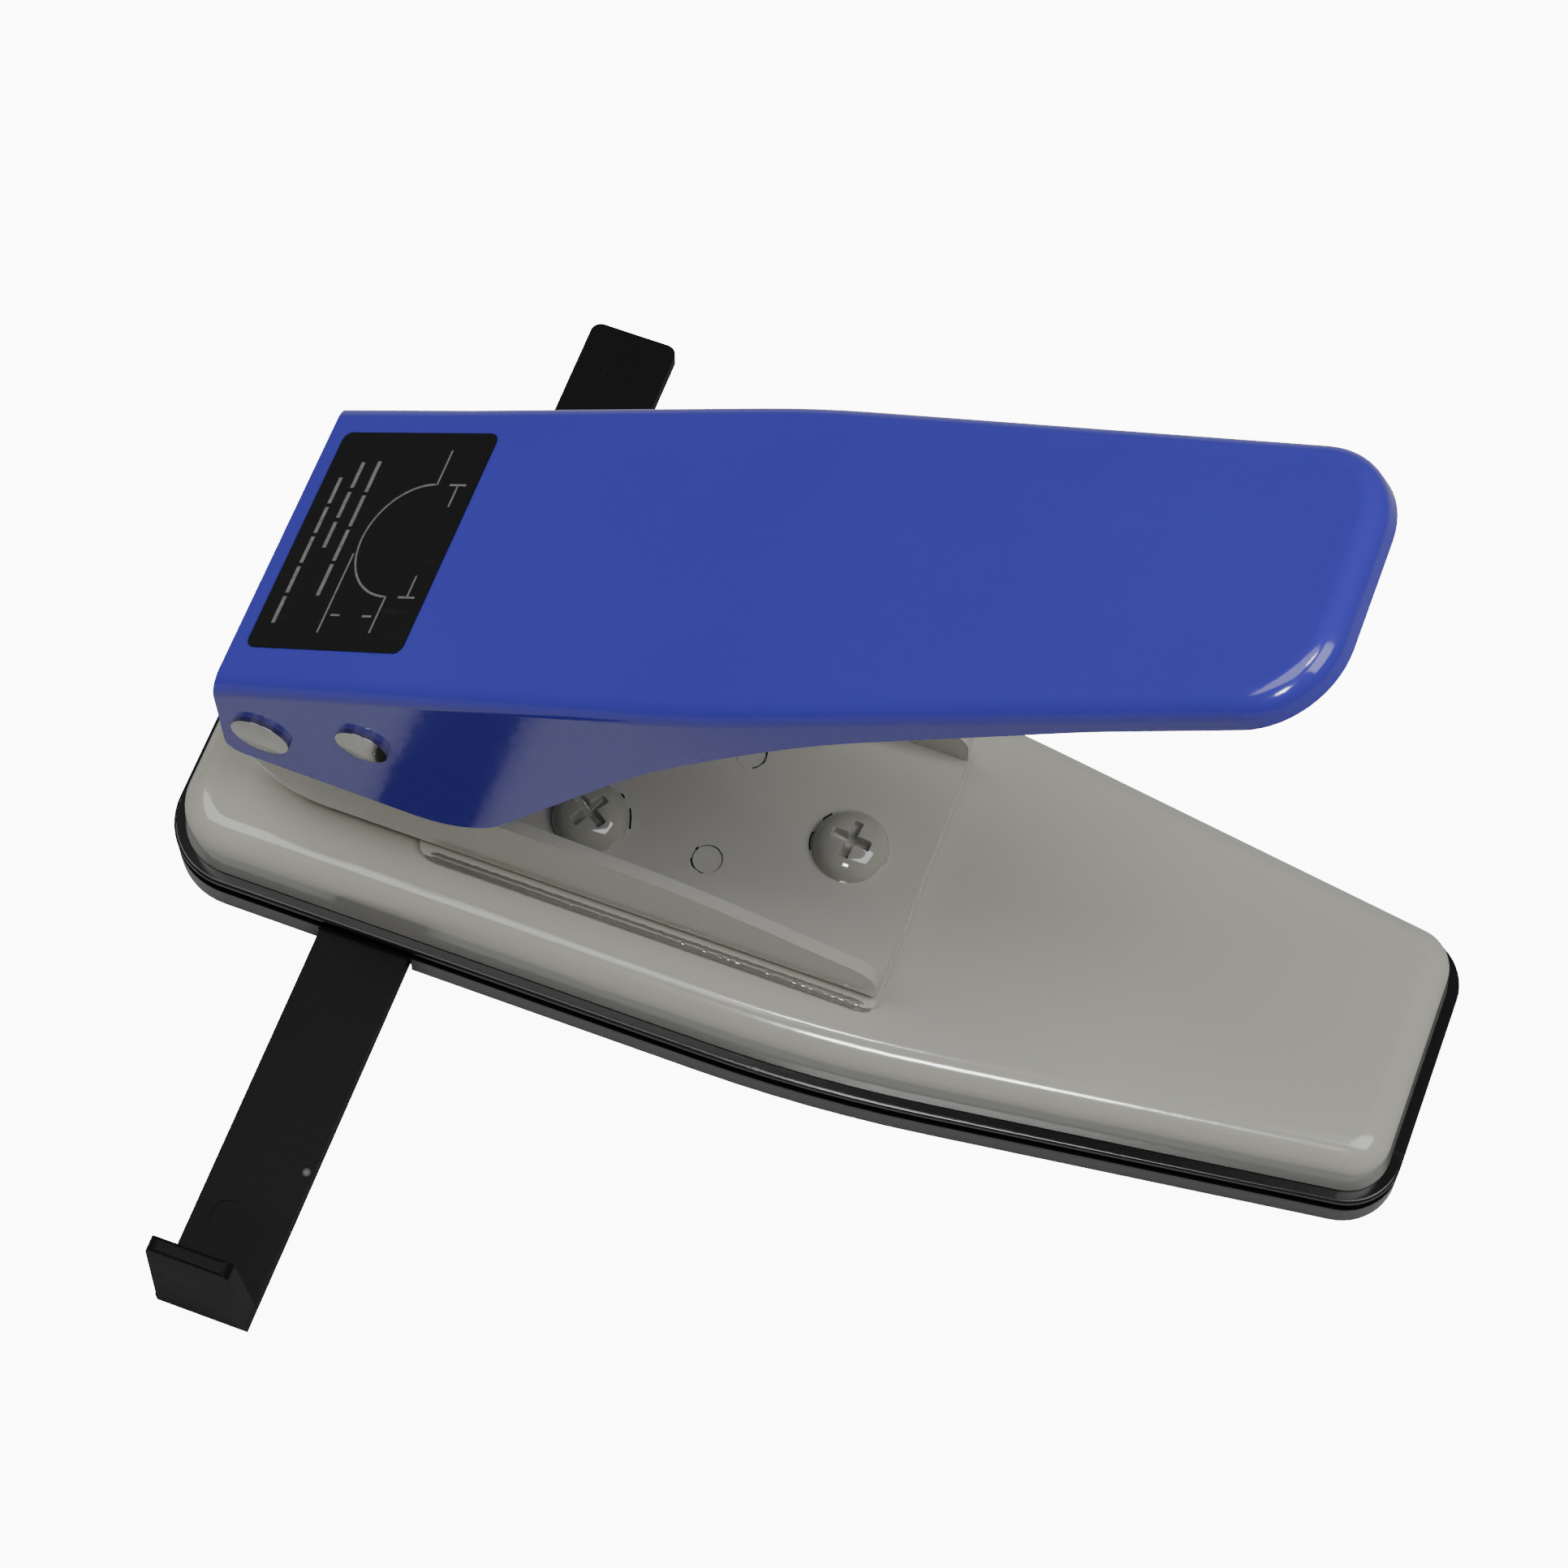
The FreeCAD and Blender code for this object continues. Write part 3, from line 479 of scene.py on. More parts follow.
def enamel(name, thick, thin, gloss, peel, dust_share, speck, clear):
    """Gloss enamel: thick and thin are its colour where the film is thick and thin."""
    material, tree, shader, where = blank_material(name)
    skin = place_group(tree, SPRAYED_SKIN, where,
                       {"Peel Scale": 420.0, "Dust Scale": 85.0, "Dust Share": dust_share})
    film = mix_colours(tree, skin, "Drift", thick, thin)
    flecked = mix_colours(tree, skin, "Dust", film.outputs[2], speck)
    wire(tree, flecked, 2, shader, "Base Color")
    vary(tree, skin, "Drift", gloss[0], gloss[1], shader, "Roughness")
    add_bump(tree, skin, "Height", shader, peel)
    shader.inputs["IOR"].default_value = 1.5
    shader.inputs["Coat Weight"].default_value = clear
    shader.inputs["Coat Roughness"].default_value = 0.05
    return material


GREY_THICK, GREY_THIN = (0.47, 0.465, 0.40), (0.50, 0.495, 0.43)
BLUE_THICK, BLUE_THIN = (0.046, 0.038, 0.41), (0.051, 0.043, 0.45)
DARK_SPECK = (0.05, 0.045, 0.04)
base_enamel = enamel("base_enamel", GREY_THICK, GREY_THIN, (0.09, 0.14), 0.000022, 0.05,
                     DARK_SPECK, 0.30)
handle_enamel = enamel("handle_enamel", BLUE_THICK, BLUE_THIN, (0.11, 0.16), 0.000035, 0.02,
                       (0.02, 0.05, 0.30), 0.12)
# Painted shade: the paint roll is coloured darker than the base enamel, standing in for the
# shade on its lower side.
roll_enamel_painted_shade = enamel("roll_enamel_painted_shade", (0.15, 0.148, 0.125), (0.25, 0.246, 0.21), (0.06, 0.12),
                     0.00012, 0.02, DARK_SPECK, 0.5)
screw_enamel = enamel("screw_enamel", (0.36, 0.355, 0.30), (0.42, 0.415, 0.36), (0.04, 0.08),
                      0.00002, 0.05, DARK_SPECK, 0.6)
print("enamels", *(m.name for m in (base_enamel, handle_enamel, roll_enamel_painted_shade, screw_enamel)))

# %% [markdown]
# Low on the cover's side, above the black rim, the colour is painted darker. This is painted
# shade and a painted dark reflection of the rim, where the side faces down and gets little
# light. The height is a Z coordinate run through a Map Range, and noise moves its edge. The
# cover's own box gives the height where the side starts. The same helper later paints the tray's
# foot paler, as a painted reflection of the white floor.

# %% bands by height
RAGGED_BY = 1.6 * MM
RAGGED_LOW = 0.4 * MM


def height_band(tree, where, top, soft):
    """A mask that is 1 below the height top, with an edge that noise makes ragged."""
    parts = add_node(tree, "ShaderNodeSeparateXYZ")
    wire(tree, where, "Object", parts, "Vector")
    ragged = add_node(tree, "ShaderNodeTexNoise", {"Scale": 60.0, "Detail": 3.0})
    wire(tree, where, "Object", ragged, "Vector")
    height = add_node(tree, "ShaderNodeMath", {1: RAGGED_BY}, operation="MULTIPLY_ADD")
    wire(tree, ragged, "Fac", height, 0)
    wire(tree, parts, "Z", height, 2)
    band = add_node(tree, "ShaderNodeMapRange",
                    {"From Min": top + RAGGED_LOW, "From Max": top + RAGGED_LOW + soft,
                     "To Min": 1.0, "To Max": 0.0})
    wire(tree, height, "Value", band, "Value")
    return band


def banded(material, name, top, soft, colour):
    """A copy of a finish whose colour changes to another below a height."""
    material = material.copy()
    material.name = name
    tree = material.node_tree
    shader = tree.nodes["Principled BSDF"]
    where = next(n for n in tree.nodes if n.type == "TEX_COORD")
    film = shader.inputs["Base Color"].links[0].from_socket
    mixed = mix_colours(tree, height_band(tree, where, top, soft), "Result", film, colour)
    wire(tree, mixed, 2, shader, "Base Color")
    return material


COVER_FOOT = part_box("base_cover")[0].z
# Painted shade: the cover's side is painted darker up to this height above its foot.
SHADE_BAND_TALL = 5.6 * MM
cover_enamel_painted_shade = banded(base_enamel, "cover_enamel_painted_shade", COVER_FOOT + SHADE_BAND_TALL, 0.9 * MM,
                      (0.36, 0.355, 0.33))
print("finish", cover_enamel_painted_shade.name)

# %% [markdown]
# The bracket has the same enamel, with dark cracks round the screws and dowels. Their
# centres come from the CAD boxes of those pieces, so the rings stay with the holes.

# %% bracket enamel
APART = 12.5 * MM
TOP_SHARE = 0.4


def spots_of(node, count):
    """Plan centres of the separate round pieces in one node, left to right."""
    points = np.array([v.co for v in NODES[node].data.vertices])
    low, high = points.min(0), points.max(0)
    top = points[points[:, 2] > high[2] - TOP_SHARE * (high[2] - low[2])]
    spots = []
    while len(top) and len(spots) < count:
        near = np.hypot(*(top[:, :2] - top[0, :2]).T) < APART
        group = top[near]
        spots.append(tuple((group.min(0) + group.max(0))[:2] / 2))
        top = top[~near]
    return sorted(spots)


screw_spots = spots_of("frame_screws", 3)
dowel_spots = spots_of("dowel_pins", 2)
print("screws", np.round(screw_spots, 4).tolist(), "dowels", np.round(dowel_spots, 4).tolist())


SCREW_CRACK, DOWEL_CRACK = 6.6 * MM, 2.7 * MM
CRACK_WIDTH = 0.16 * MM


def bracket_finish():
    """Base enamel with one cracked ring for each screw and dowel, joined by maximum."""
    material = base_enamel.copy()
    material.name = "bracket_enamel"
    tree = material.node_tree
    shader = tree.nodes["Principled BSDF"]
    where = next(n for n in tree.nodes if n.type == "TEX_COORD")
    rings = [(x, y, SCREW_CRACK, 0.56) for x, y in screw_spots]
    rings += [(x, y, DOWEL_CRACK, 0.57) for x, y in dowel_spots]
    joined = None
    for x, y, radius, missing in rings:
        ring = place_group(tree, CRACKED_RING, where,
                           {"Centre": (x, y, 0.0), "Radius": radius, "Width": CRACK_WIDTH,
                            "Missing": missing})
        if joined is None:
            joined = ring
            continue
        both = add_node(tree, "ShaderNodeMath", operation="MAXIMUM")
        tree.links.new(joined.outputs[0], both.inputs[0])
        tree.links.new(ring.outputs[0], both.inputs[1])
        joined = both
    film = shader.inputs["Base Color"].links[0].from_socket
    cracked = mix_colours(tree, joined, 0, film, (0.015, 0.013, 0.012))
    wire(tree, cracked, 2, shader, "Base Color")
    return material


bracket_enamel = bracket_finish()
print("finish", bracket_enamel.name)

# %% [markdown]
# ## Black plastics and the label film
# The tray and the guide are moulded. A mould's polished walls give the tray a half gloss,
# and the guide is duller. Both carry scratches and pale dust, which is what makes black
# plastic look real. The label is a printed film with a fine satin grain.

# %% plastics and film
def black_plastic(name, colour, worn, gloss, stretch, grain_scale, grain_depth, dust_share,
                  shine):
    """Moulded black: a base colour, paler scratches and dust, and a fine mould grain."""
    material, tree, shader, where = blank_material(name)
    marks = place_group(tree, HANDLING_MARKS, where,
                        {"Stretch": stretch, "Dust Share": dust_share})
    scratched = mix_colours(tree, marks, "Scratch", colour, worn)
    dusty = mix_colours(tree, marks, "Dust", scratched.outputs[2], (0.16, 0.16, 0.155))
    wire(tree, dusty, 2, shader, "Base Color")
    vary(tree, marks, "Haze", gloss[0], gloss[1], shader, "Roughness")
    grain = add_node(tree, "ShaderNodeTexNoise", {"Scale": grain_scale, "Detail": 3.0})
    wire(tree, where, "Object", grain, "Vector")
    add_bump(tree, grain, "Fac", shader, grain_depth)
    shader.inputs["Specular IOR Level"].default_value = shine
    return material


tray_plastic = black_plastic("tray_plastic", (0.007, 0.007, 0.008), (0.045, 0.045, 0.047),
                             (0.10, 0.20), (30, 260, 500), 700.0, 0.000008, 0.03, 0.40)
# Painted reflection: below this height the tray's foot is painted a paler black, standing in for
# the floor's sheen on its glossy side.
SHEEN_BAND_TALL = 4.6 * MM
tray_with_painted_sheen = banded(tray_plastic, "tray_painted_sheen", SHEEN_BAND_TALL, 0.3 * MM, (0.060, 0.060, 0.062))
guide_plastic = black_plastic("guide_plastic", (0.004, 0.004, 0.0045), (0.03, 0.03, 0.032),
                              (0.38, 0.62), (420, 26, 420), 1100.0, 0.00003, 0.02, 0.08)
label_film = black_plastic("label_film", (0.006, 0.006, 0.0065), (0.022, 0.022, 0.024),
                           (0.30, 0.44), (90, 500, 90), 1600.0, 0.000008, 0.02, 0.22)
print("plastics", tray_plastic.name, guide_plastic.name, label_film.name)

# %% [markdown]
# ## Bare steel
# The pins are nickel plated and show turned rings on their flat heads. Springs, screws and
# plates are bare or zinc plated. All are metals: Metallic is 1, the colour is the reflection,
# and roughness decides how sharp it is.

# %% steels
def bare_steel(name, bright, dull, gloss, centre, axis_mask, pitch, depth):
    """A metal with tool marks: colour and roughness drift between two values each."""
    material, tree, shader, where = blank_material(name)
    marks = place_group(tree, TOOL_MARKS, where,
                        {"Centre": centre, "Axis Mask": axis_mask, "Pitch": pitch})
    tone = mix_colours(tree, marks, "Tone", dull, bright)
    wire(tree, tone, 2, shader, "Base Color")
    shader.inputs["Metallic"].default_value = 1.0
    vary(tree, marks, "Tone", gloss[1], gloss[0], shader, "Roughness")
    add_bump(tree, marks, "Height", shader, depth)
    return material


def middle_of(node):
    """Centre of a CAD node's box."""
    low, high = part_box(node)
    return (low + high) / 2


AROUND_PIN, ACROSS_PLATE, AROUND_SCREW = (1.0, 0.0, 1.0), (0.0, 1.0, 0.0), (1.0, 1.0, 0.0)
STEELS = {
    "pivot_pin": ((0.78, 0.77, 0.72), (0.26, 0.255, 0.23), (0.05, 0.13), AROUND_PIN),
    "drive_pin": ((0.78, 0.77, 0.72), (0.26, 0.255, 0.23), (0.05, 0.13), AROUND_PIN),
    "retaining_rings": ((0.42, 0.41, 0.39), (0.28, 0.27, 0.26), (0.25, 0.40), ACROSS_PLATE),
    "pivot_washers": ((0.60, 0.59, 0.56), (0.42, 0.41, 0.39), (0.22, 0.36), AROUND_PIN),
    "drive_spacers": ((0.60, 0.59, 0.56), (0.42, 0.41, 0.39), (0.22, 0.36), AROUND_PIN),
    "pivot_sleeve": ((0.55, 0.54, 0.51), (0.38, 0.37, 0.35), (0.25, 0.38), AROUND_PIN),
    "die_plate": ((0.46, 0.45, 0.43), (0.33, 0.32, 0.31), (0.28, 0.42), ACROSS_PLATE),
    "guide_keeper": ((0.52, 0.52, 0.50), (0.36, 0.36, 0.35), (0.28, 0.45), ACROSS_PLATE),
    "keeper_screws": ((0.50, 0.49, 0.46), (0.34, 0.33, 0.31), (0.24, 0.40), AROUND_SCREW),
    "punch_guide": ((0.44, 0.43, 0.41), (0.30, 0.30, 0.29), (0.25, 0.40), ACROSS_PLATE),
    "guide_block_screws": ((0.42, 0.41, 0.39), (0.26, 0.26, 0.25), (0.24, 0.40), AROUND_SCREW),
    "punch_blade": ((0.62, 0.61, 0.59), (0.46, 0.45, 0.44), (0.16, 0.28), ACROSS_PLATE),
    "punch_holder": ((0.44, 0.43, 0.41), (0.30, 0.30, 0.29), (0.26, 0.42), ACROSS_PLATE),
    "blade_screw": ((0.42, 0.41, 0.39), (0.26, 0.26, 0.25), (0.24, 0.40), AROUND_PIN),
    "return_springs": ((0.40, 0.39, 0.38), (0.22, 0.21, 0.21), (0.22, 0.38), ACROSS_PLATE),
}
MARK_PITCH = 14000.0
MARK_DEPTH = 0.0015 * MM
finishes = {}
for node, (bright, dull, gloss, mask) in STEELS.items():
    finishes[node] = bare_steel(node + "_steel", bright, dull, gloss, middle_of(node), mask,
                                MARK_PITCH, MARK_DEPTH)
print("steels", len(finishes))

# %% give each CAD piece its finish
finishes.update({
    "base_cover": cover_enamel_painted_shade, "back_stop_plate": base_enamel, "bracket": bracket_enamel,
    "frame_screws": base_enamel, "dowel_pins": base_enamel, "handle": handle_enamel,
    "handle_label": label_film, "chip_tray": tray_with_painted_sheen, "paper_guide": guide_plastic,
})
for node, material in finishes.items():
    mesh = NODES[node].data
    mesh.materials.clear()
    mesh.materials.append(material)
print("finished nodes", len(finishes), "unfinished", sorted(set(NODES) - set(finishes)))

# %% [markdown]
# ## From numbers to a piece
# Each new piece below starts as arrays of points and faces. One helper makes them a mesh
# whose faces all point outwards, and the other puts the mesh in the scene, on the body that
# it moves with and in the place of the CAD piece that it shows.

# %% piece helpers
def smooth_mesh(name, points, faces, finish, merge=0.0):
    """A smooth mesh of points and faces, its doubles merged first where merge is a distance."""
    mesh = bpy.data.meshes.new(name)
    mesh.from_pydata(points, [], faces)
    work = bmesh.new()
    work.from_mesh(mesh)
    if merge:
        bmesh.ops.remove_doubles(work, verts=work.verts, dist=merge)
    bmesh.ops.recalc_face_normals(work, faces=work.faces)
    work.to_mesh(mesh)
    work.free()
    mesh.shade_smooth()
    mesh.materials.append(finish)
    return mesh


def place_piece(mesh, body, stands_for=None):
    """An object for the mesh, which rides on a body and may stand for a CAD piece."""
    piece = bpy.data.objects.new(mesh.name, mesh)
    bpy.context.scene.collection.objects.link(piece)
    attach(piece, body)
    if stands_for:
        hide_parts(stands_for)
    print(piece.name, "faces", len(mesh.polygons))
    return piece


# %% [markdown]
# ## Edges softened by paint
# Sheet steel is cut square, but the burr is tumbled off and the paint pulls away from a
# corner and dries round. That rounding is what catches the light. It could be faked with a
# normal trick in the shader, but a real bevel also shows from the side. So a copy of the CAD
# mesh is merged, its flat faces are joined, and a Bevel modifier rounds only sharp edges.
# Each edge carries a weight, so that free edges are rounder than the rims of holes.

# %% rounded copies
FLAT_WITHIN = math.radians(0.6)
SHARP_FROM = math.radians(38)


def soften(node, width, body, above, below_share):
    """A copy of a CAD piece with its sharp edges rounded: full width above a height."""
    mesh = NODES[node].data.copy()
    mesh.name = node + "_painted"
    if "custom_normal" in mesh.attributes:
        mesh.attributes.remove(mesh.attributes["custom_normal"])
    work = bmesh.new()
    work.from_mesh(mesh)
    bmesh.ops.remove_doubles(work, verts=work.verts, dist=2e-6)
    bmesh.ops.dissolve_limit(work, angle_limit=FLAT_WITHIN, verts=work.verts,
                             edges=work.edges, use_dissolve_boundaries=False)
    rounding = work.edges.layers.float.new("bevel_weight_edge")
    for edge in work.edges:
        if edge.is_manifold and edge.calc_face_angle() > SHARP_FROM:
            middle = (edge.verts[0].co + edge.verts[1].co) / 2
            edge[rounding] = 1.0 if middle.z > above else below_share
    work.to_mesh(mesh)
    work.free()
    mesh.shade_smooth()
    piece = place_piece(mesh, body, stands_for=node)
    bevel = piece.modifiers.new("painted_edges", "BEVEL")
    bevel.width = width
    bevel.segments = 3
    bevel.limit_method = "WEIGHT"
    bevel.use_clamp_overlap = True
    bevel.harden_normals = True
    bevel.miter_outer = "MITER_ARC"


BRACKET_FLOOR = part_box("dowel_pins")[1].z + 0.3 * MM
HOLE_RIM_SHARE = 0.4
soften("bracket", 0.92 * MM, "base", BRACKET_FLOOR + 1.0 * MM, HOLE_RIM_SHARE)
soften("back_stop_plate", 0.6 * MM, "base", 0.0, 1.0)

# %% [markdown]
# Between the bracket and the deck the paint has run along the spacer's side and dried as a
# thick uneven roll. It is a small round profile carried along a straight path. Its radius
# swells and shrinks with a sum of sines, and falls to nothing at both ends, which closes it.

# %% paint roll along the spacer
RIPPLE_SHARE = 0.05


def paint_roll(name, start, end, radius, seed):
    """Tube from start to end: radius times a half-round end taper and a ripple of sines."""
    rows, sides, sines = 420, 14, 9
    t = np.linspace(0, 1, rows)[:, None]
    angle = np.linspace(0, 2 * math.pi, sides, endpoint=False)[None, :]
    random = np.random.default_rng(seed)
    length = np.linalg.norm(np.subtract(end, start))
    waves = random.uniform(1.5e3, 6e3, sines)
    shifts = random.uniform(0, 2 * math.pi, (sines, 1))
    ripple = sum(np.sin(w * t * length + s + 1.5 * np.sin(angle + s))
                 for w, s in zip(waves, shifts)) / sines
    from_end = np.minimum(t, 1 - t) * length / (3 * radius)
    taper = np.sqrt(np.clip(1 - (1 - np.clip(from_end, 0, 1)) ** 2, 0, 1))
    around = radius * taper * (1 + RIPPLE_SHARE * ripple)
    x = start[0] + (end[0] - start[0]) * t + 0 * angle
    y = start[1] + around * np.cos(angle)
    z = start[2] + around * np.sin(angle)
    points = np.stack([x, y, z], axis=2).reshape(-1, 3)
    row, side = np.meshgrid(np.arange(rows - 1), np.arange(sides), indexing="ij")
    nxt = (side + 1) % sides
    quads = np.stack([row * sides + side, row * sides + nxt,
                      (row + 1) * sides + nxt, (row + 1) * sides + side], axis=2)
    place_piece(smooth_mesh(name, points.tolist(), quads.reshape(-1, 4).tolist(), roll_enamel_painted_shade,
                            merge=1e-6), "base")


plate_low, plate_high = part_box("back_stop_plate")
ROLL_RADIUS = 0.9 * MM
roll_height = (plate_low.z + plate_high.z) / 2
for side, edge, inwards, seed in (("near", plate_low.y, 1, 3), ("far", plate_high.y, -1, 4)):
    line = edge + inwards * 0.5 * ROLL_RADIUS
    paint_roll("paint_roll_" + side, (plate_low.x + 1.0 * MM, line, roll_height),
               (plate_high.x - 0.6 * MM, line, roll_height), ROLL_RADIUS, seed)

# %% [markdown]
# ## Screw heads
# The three frame screws have a domed head with a cross recess, and paint has rounded every
# edge of it. Cutting a cross out of a dome with a Boolean leaves long thin faces that shade
# badly. A polar grid is cleaner: the height at each radius and angle is the dome less the
# recess, and the recess fades in over a quarter of a millimetre like a paint-filled edge.

# %% screw head surface
RECESS_DEPTH = 2.8 * MM
ARM_HALF, ARM_REACH = (0.55 * MM, 0.80 * MM), (2.9 * MM, 3.25 * MM)


def smooth_edge(x, low, high):
    """Goes smoothly from 1 below low to 0 above high."""
    t = np.clip((x - low) / (high - low), 0, 1)
    return 1 - t * t * (3 - 2 * t)


def pan_head(x0, y0, turned, foot, top, tip, radius, shank):
    """Rings of points: dome height times a flattened circle, less the cross recess."""
    angle = np.linspace(0, 2 * math.pi, 144, endpoint=False)[None, :]
    r = (radius * np.linspace(0, 1, 90) ** 0.85)[1:, None]
    a = np.abs(r * np.cos(angle - turned))
    b = np.abs(r * np.sin(angle - turned))
    along, across = np.maximum(a, b), np.minimum(a, b)
    arm = smooth_edge(across, *ARM_HALF) * smooth_edge(along, *ARM_REACH)
    depth = (RECESS_DEPTH - 0.45 * along) * arm
    dome = foot + (top - foot) * np.sqrt(np.clip(1 - (r / radius) ** 2.5, 0, 1))
    z = dome + 0 * angle - depth
    rings = [np.stack([x0 + r * np.cos(angle), y0 + r * np.sin(angle), z], axis=2)]
    for reach, height in ((shank, foot), (shank, tip), (0.3 * shank, tip)):
        ring = np.stack([x0 + reach * np.cos(angle), y0 + reach * np.sin(angle),
                         height + 0 * angle], axis=2)
        rings.append(ring)
    return np.concatenate(rings, axis=0), (x0, y0, top - RECESS_DEPTH), (x0, y0, tip)


def rings_to_faces(rows, sides, start):
    """Quads between neighbouring rings, and a fan to a pole at each end.

    The rings' points come first, row by row, and then the first and the last pole.
    """
    row, side = np.meshgrid(np.arange(rows - 1), np.arange(sides), indexing="ij")
    nxt = (side + 1) % sides
    quads = np.stack([row * sides + side, (row + 1) * sides + side,
                      (row + 1) * sides + nxt, row * sides + nxt], axis=2).reshape(-1, 4)
    column = np.arange(sides)
    after = (column + 1) % sides
    first, last = rows * sides, rows * sides + 1
    low = (rows - 1) * sides
    fans = [(first, c, n) for c, n in zip(column, after)]
    fans += [(last, low + n, low + c) for c, n in zip(column, after)]
    return [tuple(start + i for i in face) for face in quads.tolist() + fans]


screw_low, screw_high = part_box("frame_screws")
HEAD_RADIUS, SHANK_RADIUS = 6.0 * MM, 3.0 * MM
SCREW_TURNS = (math.radians(-31), math.radians(12), math.radians(-4))
screw_points, screw_faces = [], []
for (x, y), turned in zip(screw_spots, SCREW_TURNS):
    grid, first, last = pan_head(x, y, turned, BRACKET_FLOOR, screw_high.z, screw_low.z,
                                 HEAD_RADIUS, SHANK_RADIUS)
    start = len(screw_points)
    screw_faces += rings_to_faces(grid.shape[0], grid.shape[1], start)
    screw_points += grid.reshape(-1, 3).tolist() + [first, last]
screw_mesh = smooth_mesh("pan_heads", screw_points, screw_faces, screw_enamel)
screw_mesh.set_sharp_from_angle(angle=math.radians(60))
place_piece(screw_mesh, "base", stands_for="frame_screws")

# %% [markdown]
# ## Return springs
# Two small compression springs lift the punch. A spring can't be carried whole by either part,
# because its foot stays on the guide block and its top goes down with the holder. So the coils
# ride on the base, in one object with a mesh of its own. The wire is a round tube carried along
# a helix, with a flat dead coil at each end.

# %% return springs
def coil(centre, low, high, radius, wire_radius, turns):
    """Tube round a helix: level over the first and last turn, an even rise between them."""
    steps, sides = 32 * turns, 12
    t = np.linspace(0, 1, steps)[:, None]
    angle = 2 * np.pi * turns * t
    flat = 1.0 / turns
    climb = np.clip((t - flat) / (1 - 2 * flat), 0, 1)
    height = low + wire_radius + (high - low - 2 * wire_radius) * climb
    round_wire = 2 * np.pi * np.arange(sides)[None, :] / sides
    reach = radius + wire_radius * np.cos(round_wire)
    grid = np.stack([centre[0] + reach * np.cos(angle), centre[1] + reach * np.sin(angle),
                     height + wire_radius * np.sin(round_wire)], axis=2)
    return grid, grid[0].mean(axis=0), grid[-1].mean(axis=0)


spring_low, spring_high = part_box("return_springs")
WIRE_RADIUS, SPRING_GAP, SPRING_TURNS = 0.38 * MM, 0.02 * MM, 9
coil_radius = (spring_high.x - spring_low.x) / 2 - WIRE_RADIUS - SPRING_GAP
coil_middle = (spring_low.x + spring_high.x) / 2
coil_reach = (spring_high.y - spring_low.y) / 2 - coil_radius - WIRE_RADIUS
spring_points, spring_faces = [], []
for side in (-1, 1):
    grid, first, last = coil((coil_middle, side * coil_reach), spring_low.z + SPRING_GAP,
                             spring_high.z - SPRING_GAP, coil_radius, WIRE_RADIUS,
                             SPRING_TURNS)
    start = len(spring_points)
    spring_faces += rings_to_faces(grid.shape[0], grid.shape[1], start)
    spring_points += grid.reshape(-1, 3).tolist() + [first, last]
spring_mesh = smooth_mesh("coil_springs", spring_points, spring_faces,
                          finishes["return_springs"])
coil_springs = place_piece(spring_mesh, "base", stands_for="return_springs")
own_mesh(coil_springs)

# %% [markdown]
# ## The diagram on the label
# The label shows what the punch cuts: the edge of a sheet with a half-round notch, two
# dimension marks and a reference line. It could be a texture, but thin raised ribbons of ink
# stay sharp at any distance. Each line is a ribbon along a path in the handle's own
# coordinates, which a turn about the pivot carries to the label's face.

# %% printed lines
HANDLE_TILT = math.radians(32.0)
PIVOT = np.array(JOINTS["lever_press"]["pos_m"])
ALONG = np.array([math.cos(HANDLE_TILT), 0.0, math.sin(HANDLE_TILT)])
ACROSS = np.array([0.0, 1.0, 0.0])
ABOVE = np.array([-math.sin(HANDLE_TILT), 0.0, math.cos(HANDLE_TILT)])
label_points = np.array([v.co for v in NODES["handle_label"].data.vertices])
LABEL_FACE = ((label_points - PIVOT) @ ABOVE).max()
print("label face above pivot", round(LABEL_FACE / MM, 3), "mm")


def ribbon(path, width):
    """Corners of a flat strip: path points moved half the width to each side, square ended."""
    path = np.asarray(path, float)
    step = np.gradient(path, axis=0)
    step /= np.linalg.norm(step, axis=1)[:, None]
    side = np.stack([-step[:, 1], step[:, 0]], axis=1) * width / 2
    return path + side, path - side


def ink_mesh(name, strips, lift):
    """Joins flat strips, each a pair of rows of (along, across) in mm, into one mesh."""
    points, faces = [], []
    for left, right in strips:
        rows = len(left)
        start = sum(len(p) for p in points)
        flat = np.concatenate([left, right]) * MM
        points.append(PIVOT + flat[:, :1] * ALONG + flat[:, 1:] * ACROSS
                      + (LABEL_FACE + lift) * ABOVE)
        near = start + np.arange(rows - 1)
        faces.append(np.stack([near, near + rows, near + rows + 1, near + 1], axis=1))
    mesh = bpy.data.meshes.new(name)
    mesh.from_pydata(np.concatenate(points).tolist(), [], np.concatenate(faces).tolist())
    mesh.update()
    work = bmesh.new()
    work.from_mesh(mesh)
    turned_down = [f for f in work.faces if f.normal.dot(Vector(ABOVE)) < 0]
    bmesh.ops.reverse_faces(work, faces=turned_down)
    work.to_mesh(mesh)
    work.free()
    return mesh


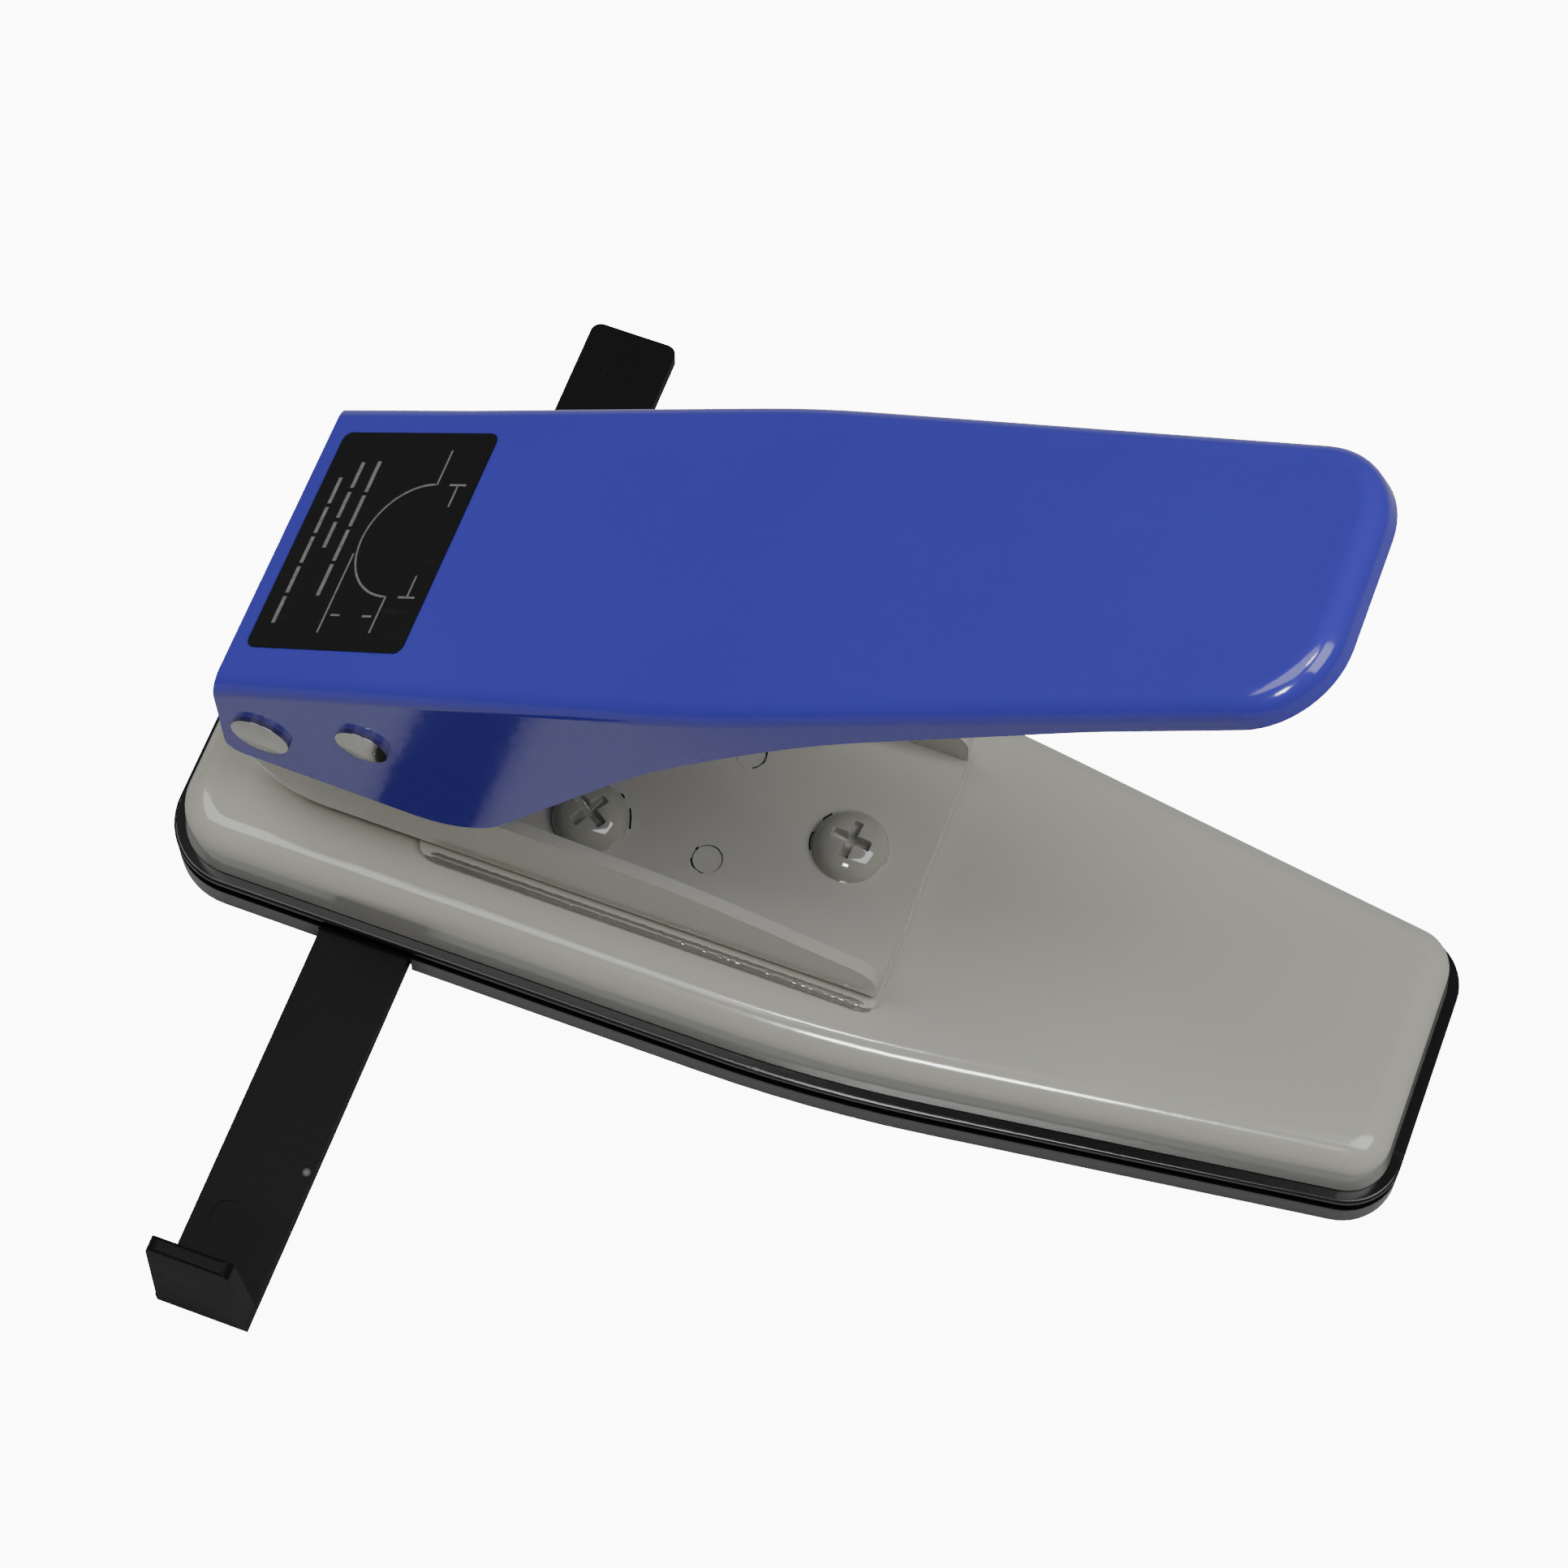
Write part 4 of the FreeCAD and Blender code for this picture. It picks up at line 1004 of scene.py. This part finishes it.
# The label's numbers are millimetres along the handle from the pivot, and across it.
LINE = 0.36
BAR_TALL = 0.75
INK_THICK = 0.02 * MM
NOTCH_R = 9.8
NOTCH_MID = 0.85
EDGE_AT = 26.2
REFERENCE_AT = 16.14
turn = np.linspace(0, math.pi, 49)
notch = np.stack([EDGE_AT - NOTCH_R * np.sin(turn), NOTCH_MID + NOTCH_R * np.cos(turn)], 1)
outline = np.concatenate([[(EDGE_AT, 16.7), (EDGE_AT, 13.5)], notch,
                          [(EDGE_AT, -12.0), (EDGE_AT, -15.2)]])
marks = [outline, [(REFERENCE_AT, -1.7), (REFERENCE_AT, -15.5)],
         [(28.65, 10.6), (31.85, 10.6)], [(30.3, 10.6), (30.3, 6.8)],
         [(28.6, -8.95), (31.8, -8.95)], [(30.3, -8.95), (30.3, -5.2)],
         [(25.2, -12.4), (23.4, -12.4)], [(17.2, -12.4), (19.0, -12.4)]]
strips = [ribbon(path, LINE) for path in marks]
print("printed strokes", len(strips))

# %% [markdown]
# Printed words are left out. Plain short bars stand where a maker would put a legend, so
# the label keeps its balance and says nothing.

# %% legend bars
def bars(at, first, last, count, tall, gap):
    """A row of equal short bars across the label, with a gap between them."""
    step = (last - first) / count
    starts = first + step * np.arange(count)
    reach = step * (1 - gap)
    return [ribbon([(at, start), (at, start + reach)], tall) for start in starts]


strips += bars(12.9, 14.6, -9.8, 4, BAR_TALL, 0.10)
strips += bars(9.7, 14.4, -1.6, 3, BAR_TALL, 0.14)
strips += bars(6.6, 11.6, -14.8, 5, BAR_TALL, 0.12)
ink_lines = ink_mesh("label_print", strips, INK_THICK)
print("printed strokes with the bars", len(strips))

# %% ink finish
def ink_finish():
    """Screen-printed pale grey, thin and uneven in patches that noise sets."""
    material, tree, shader, where = blank_material("label_ink")
    patch = add_node(tree, "ShaderNodeTexNoise", {"Scale": 1500.0, "Detail": 3.0})
    wire(tree, where, "Object", patch, "Vector")
    cover = mix_colours(tree, patch, "Fac", (0.08, 0.08, 0.08), (0.26, 0.26, 0.255))
    wire(tree, cover, 2, shader, "Base Color")
    vary(tree, patch, "Fac", 0.35, 0.55, shader, "Roughness")
    add_bump(tree, patch, "Fac", shader, 0.00001)
    return material


ink_lines.materials.append(ink_finish())
place_piece(ink_lines, "lever")
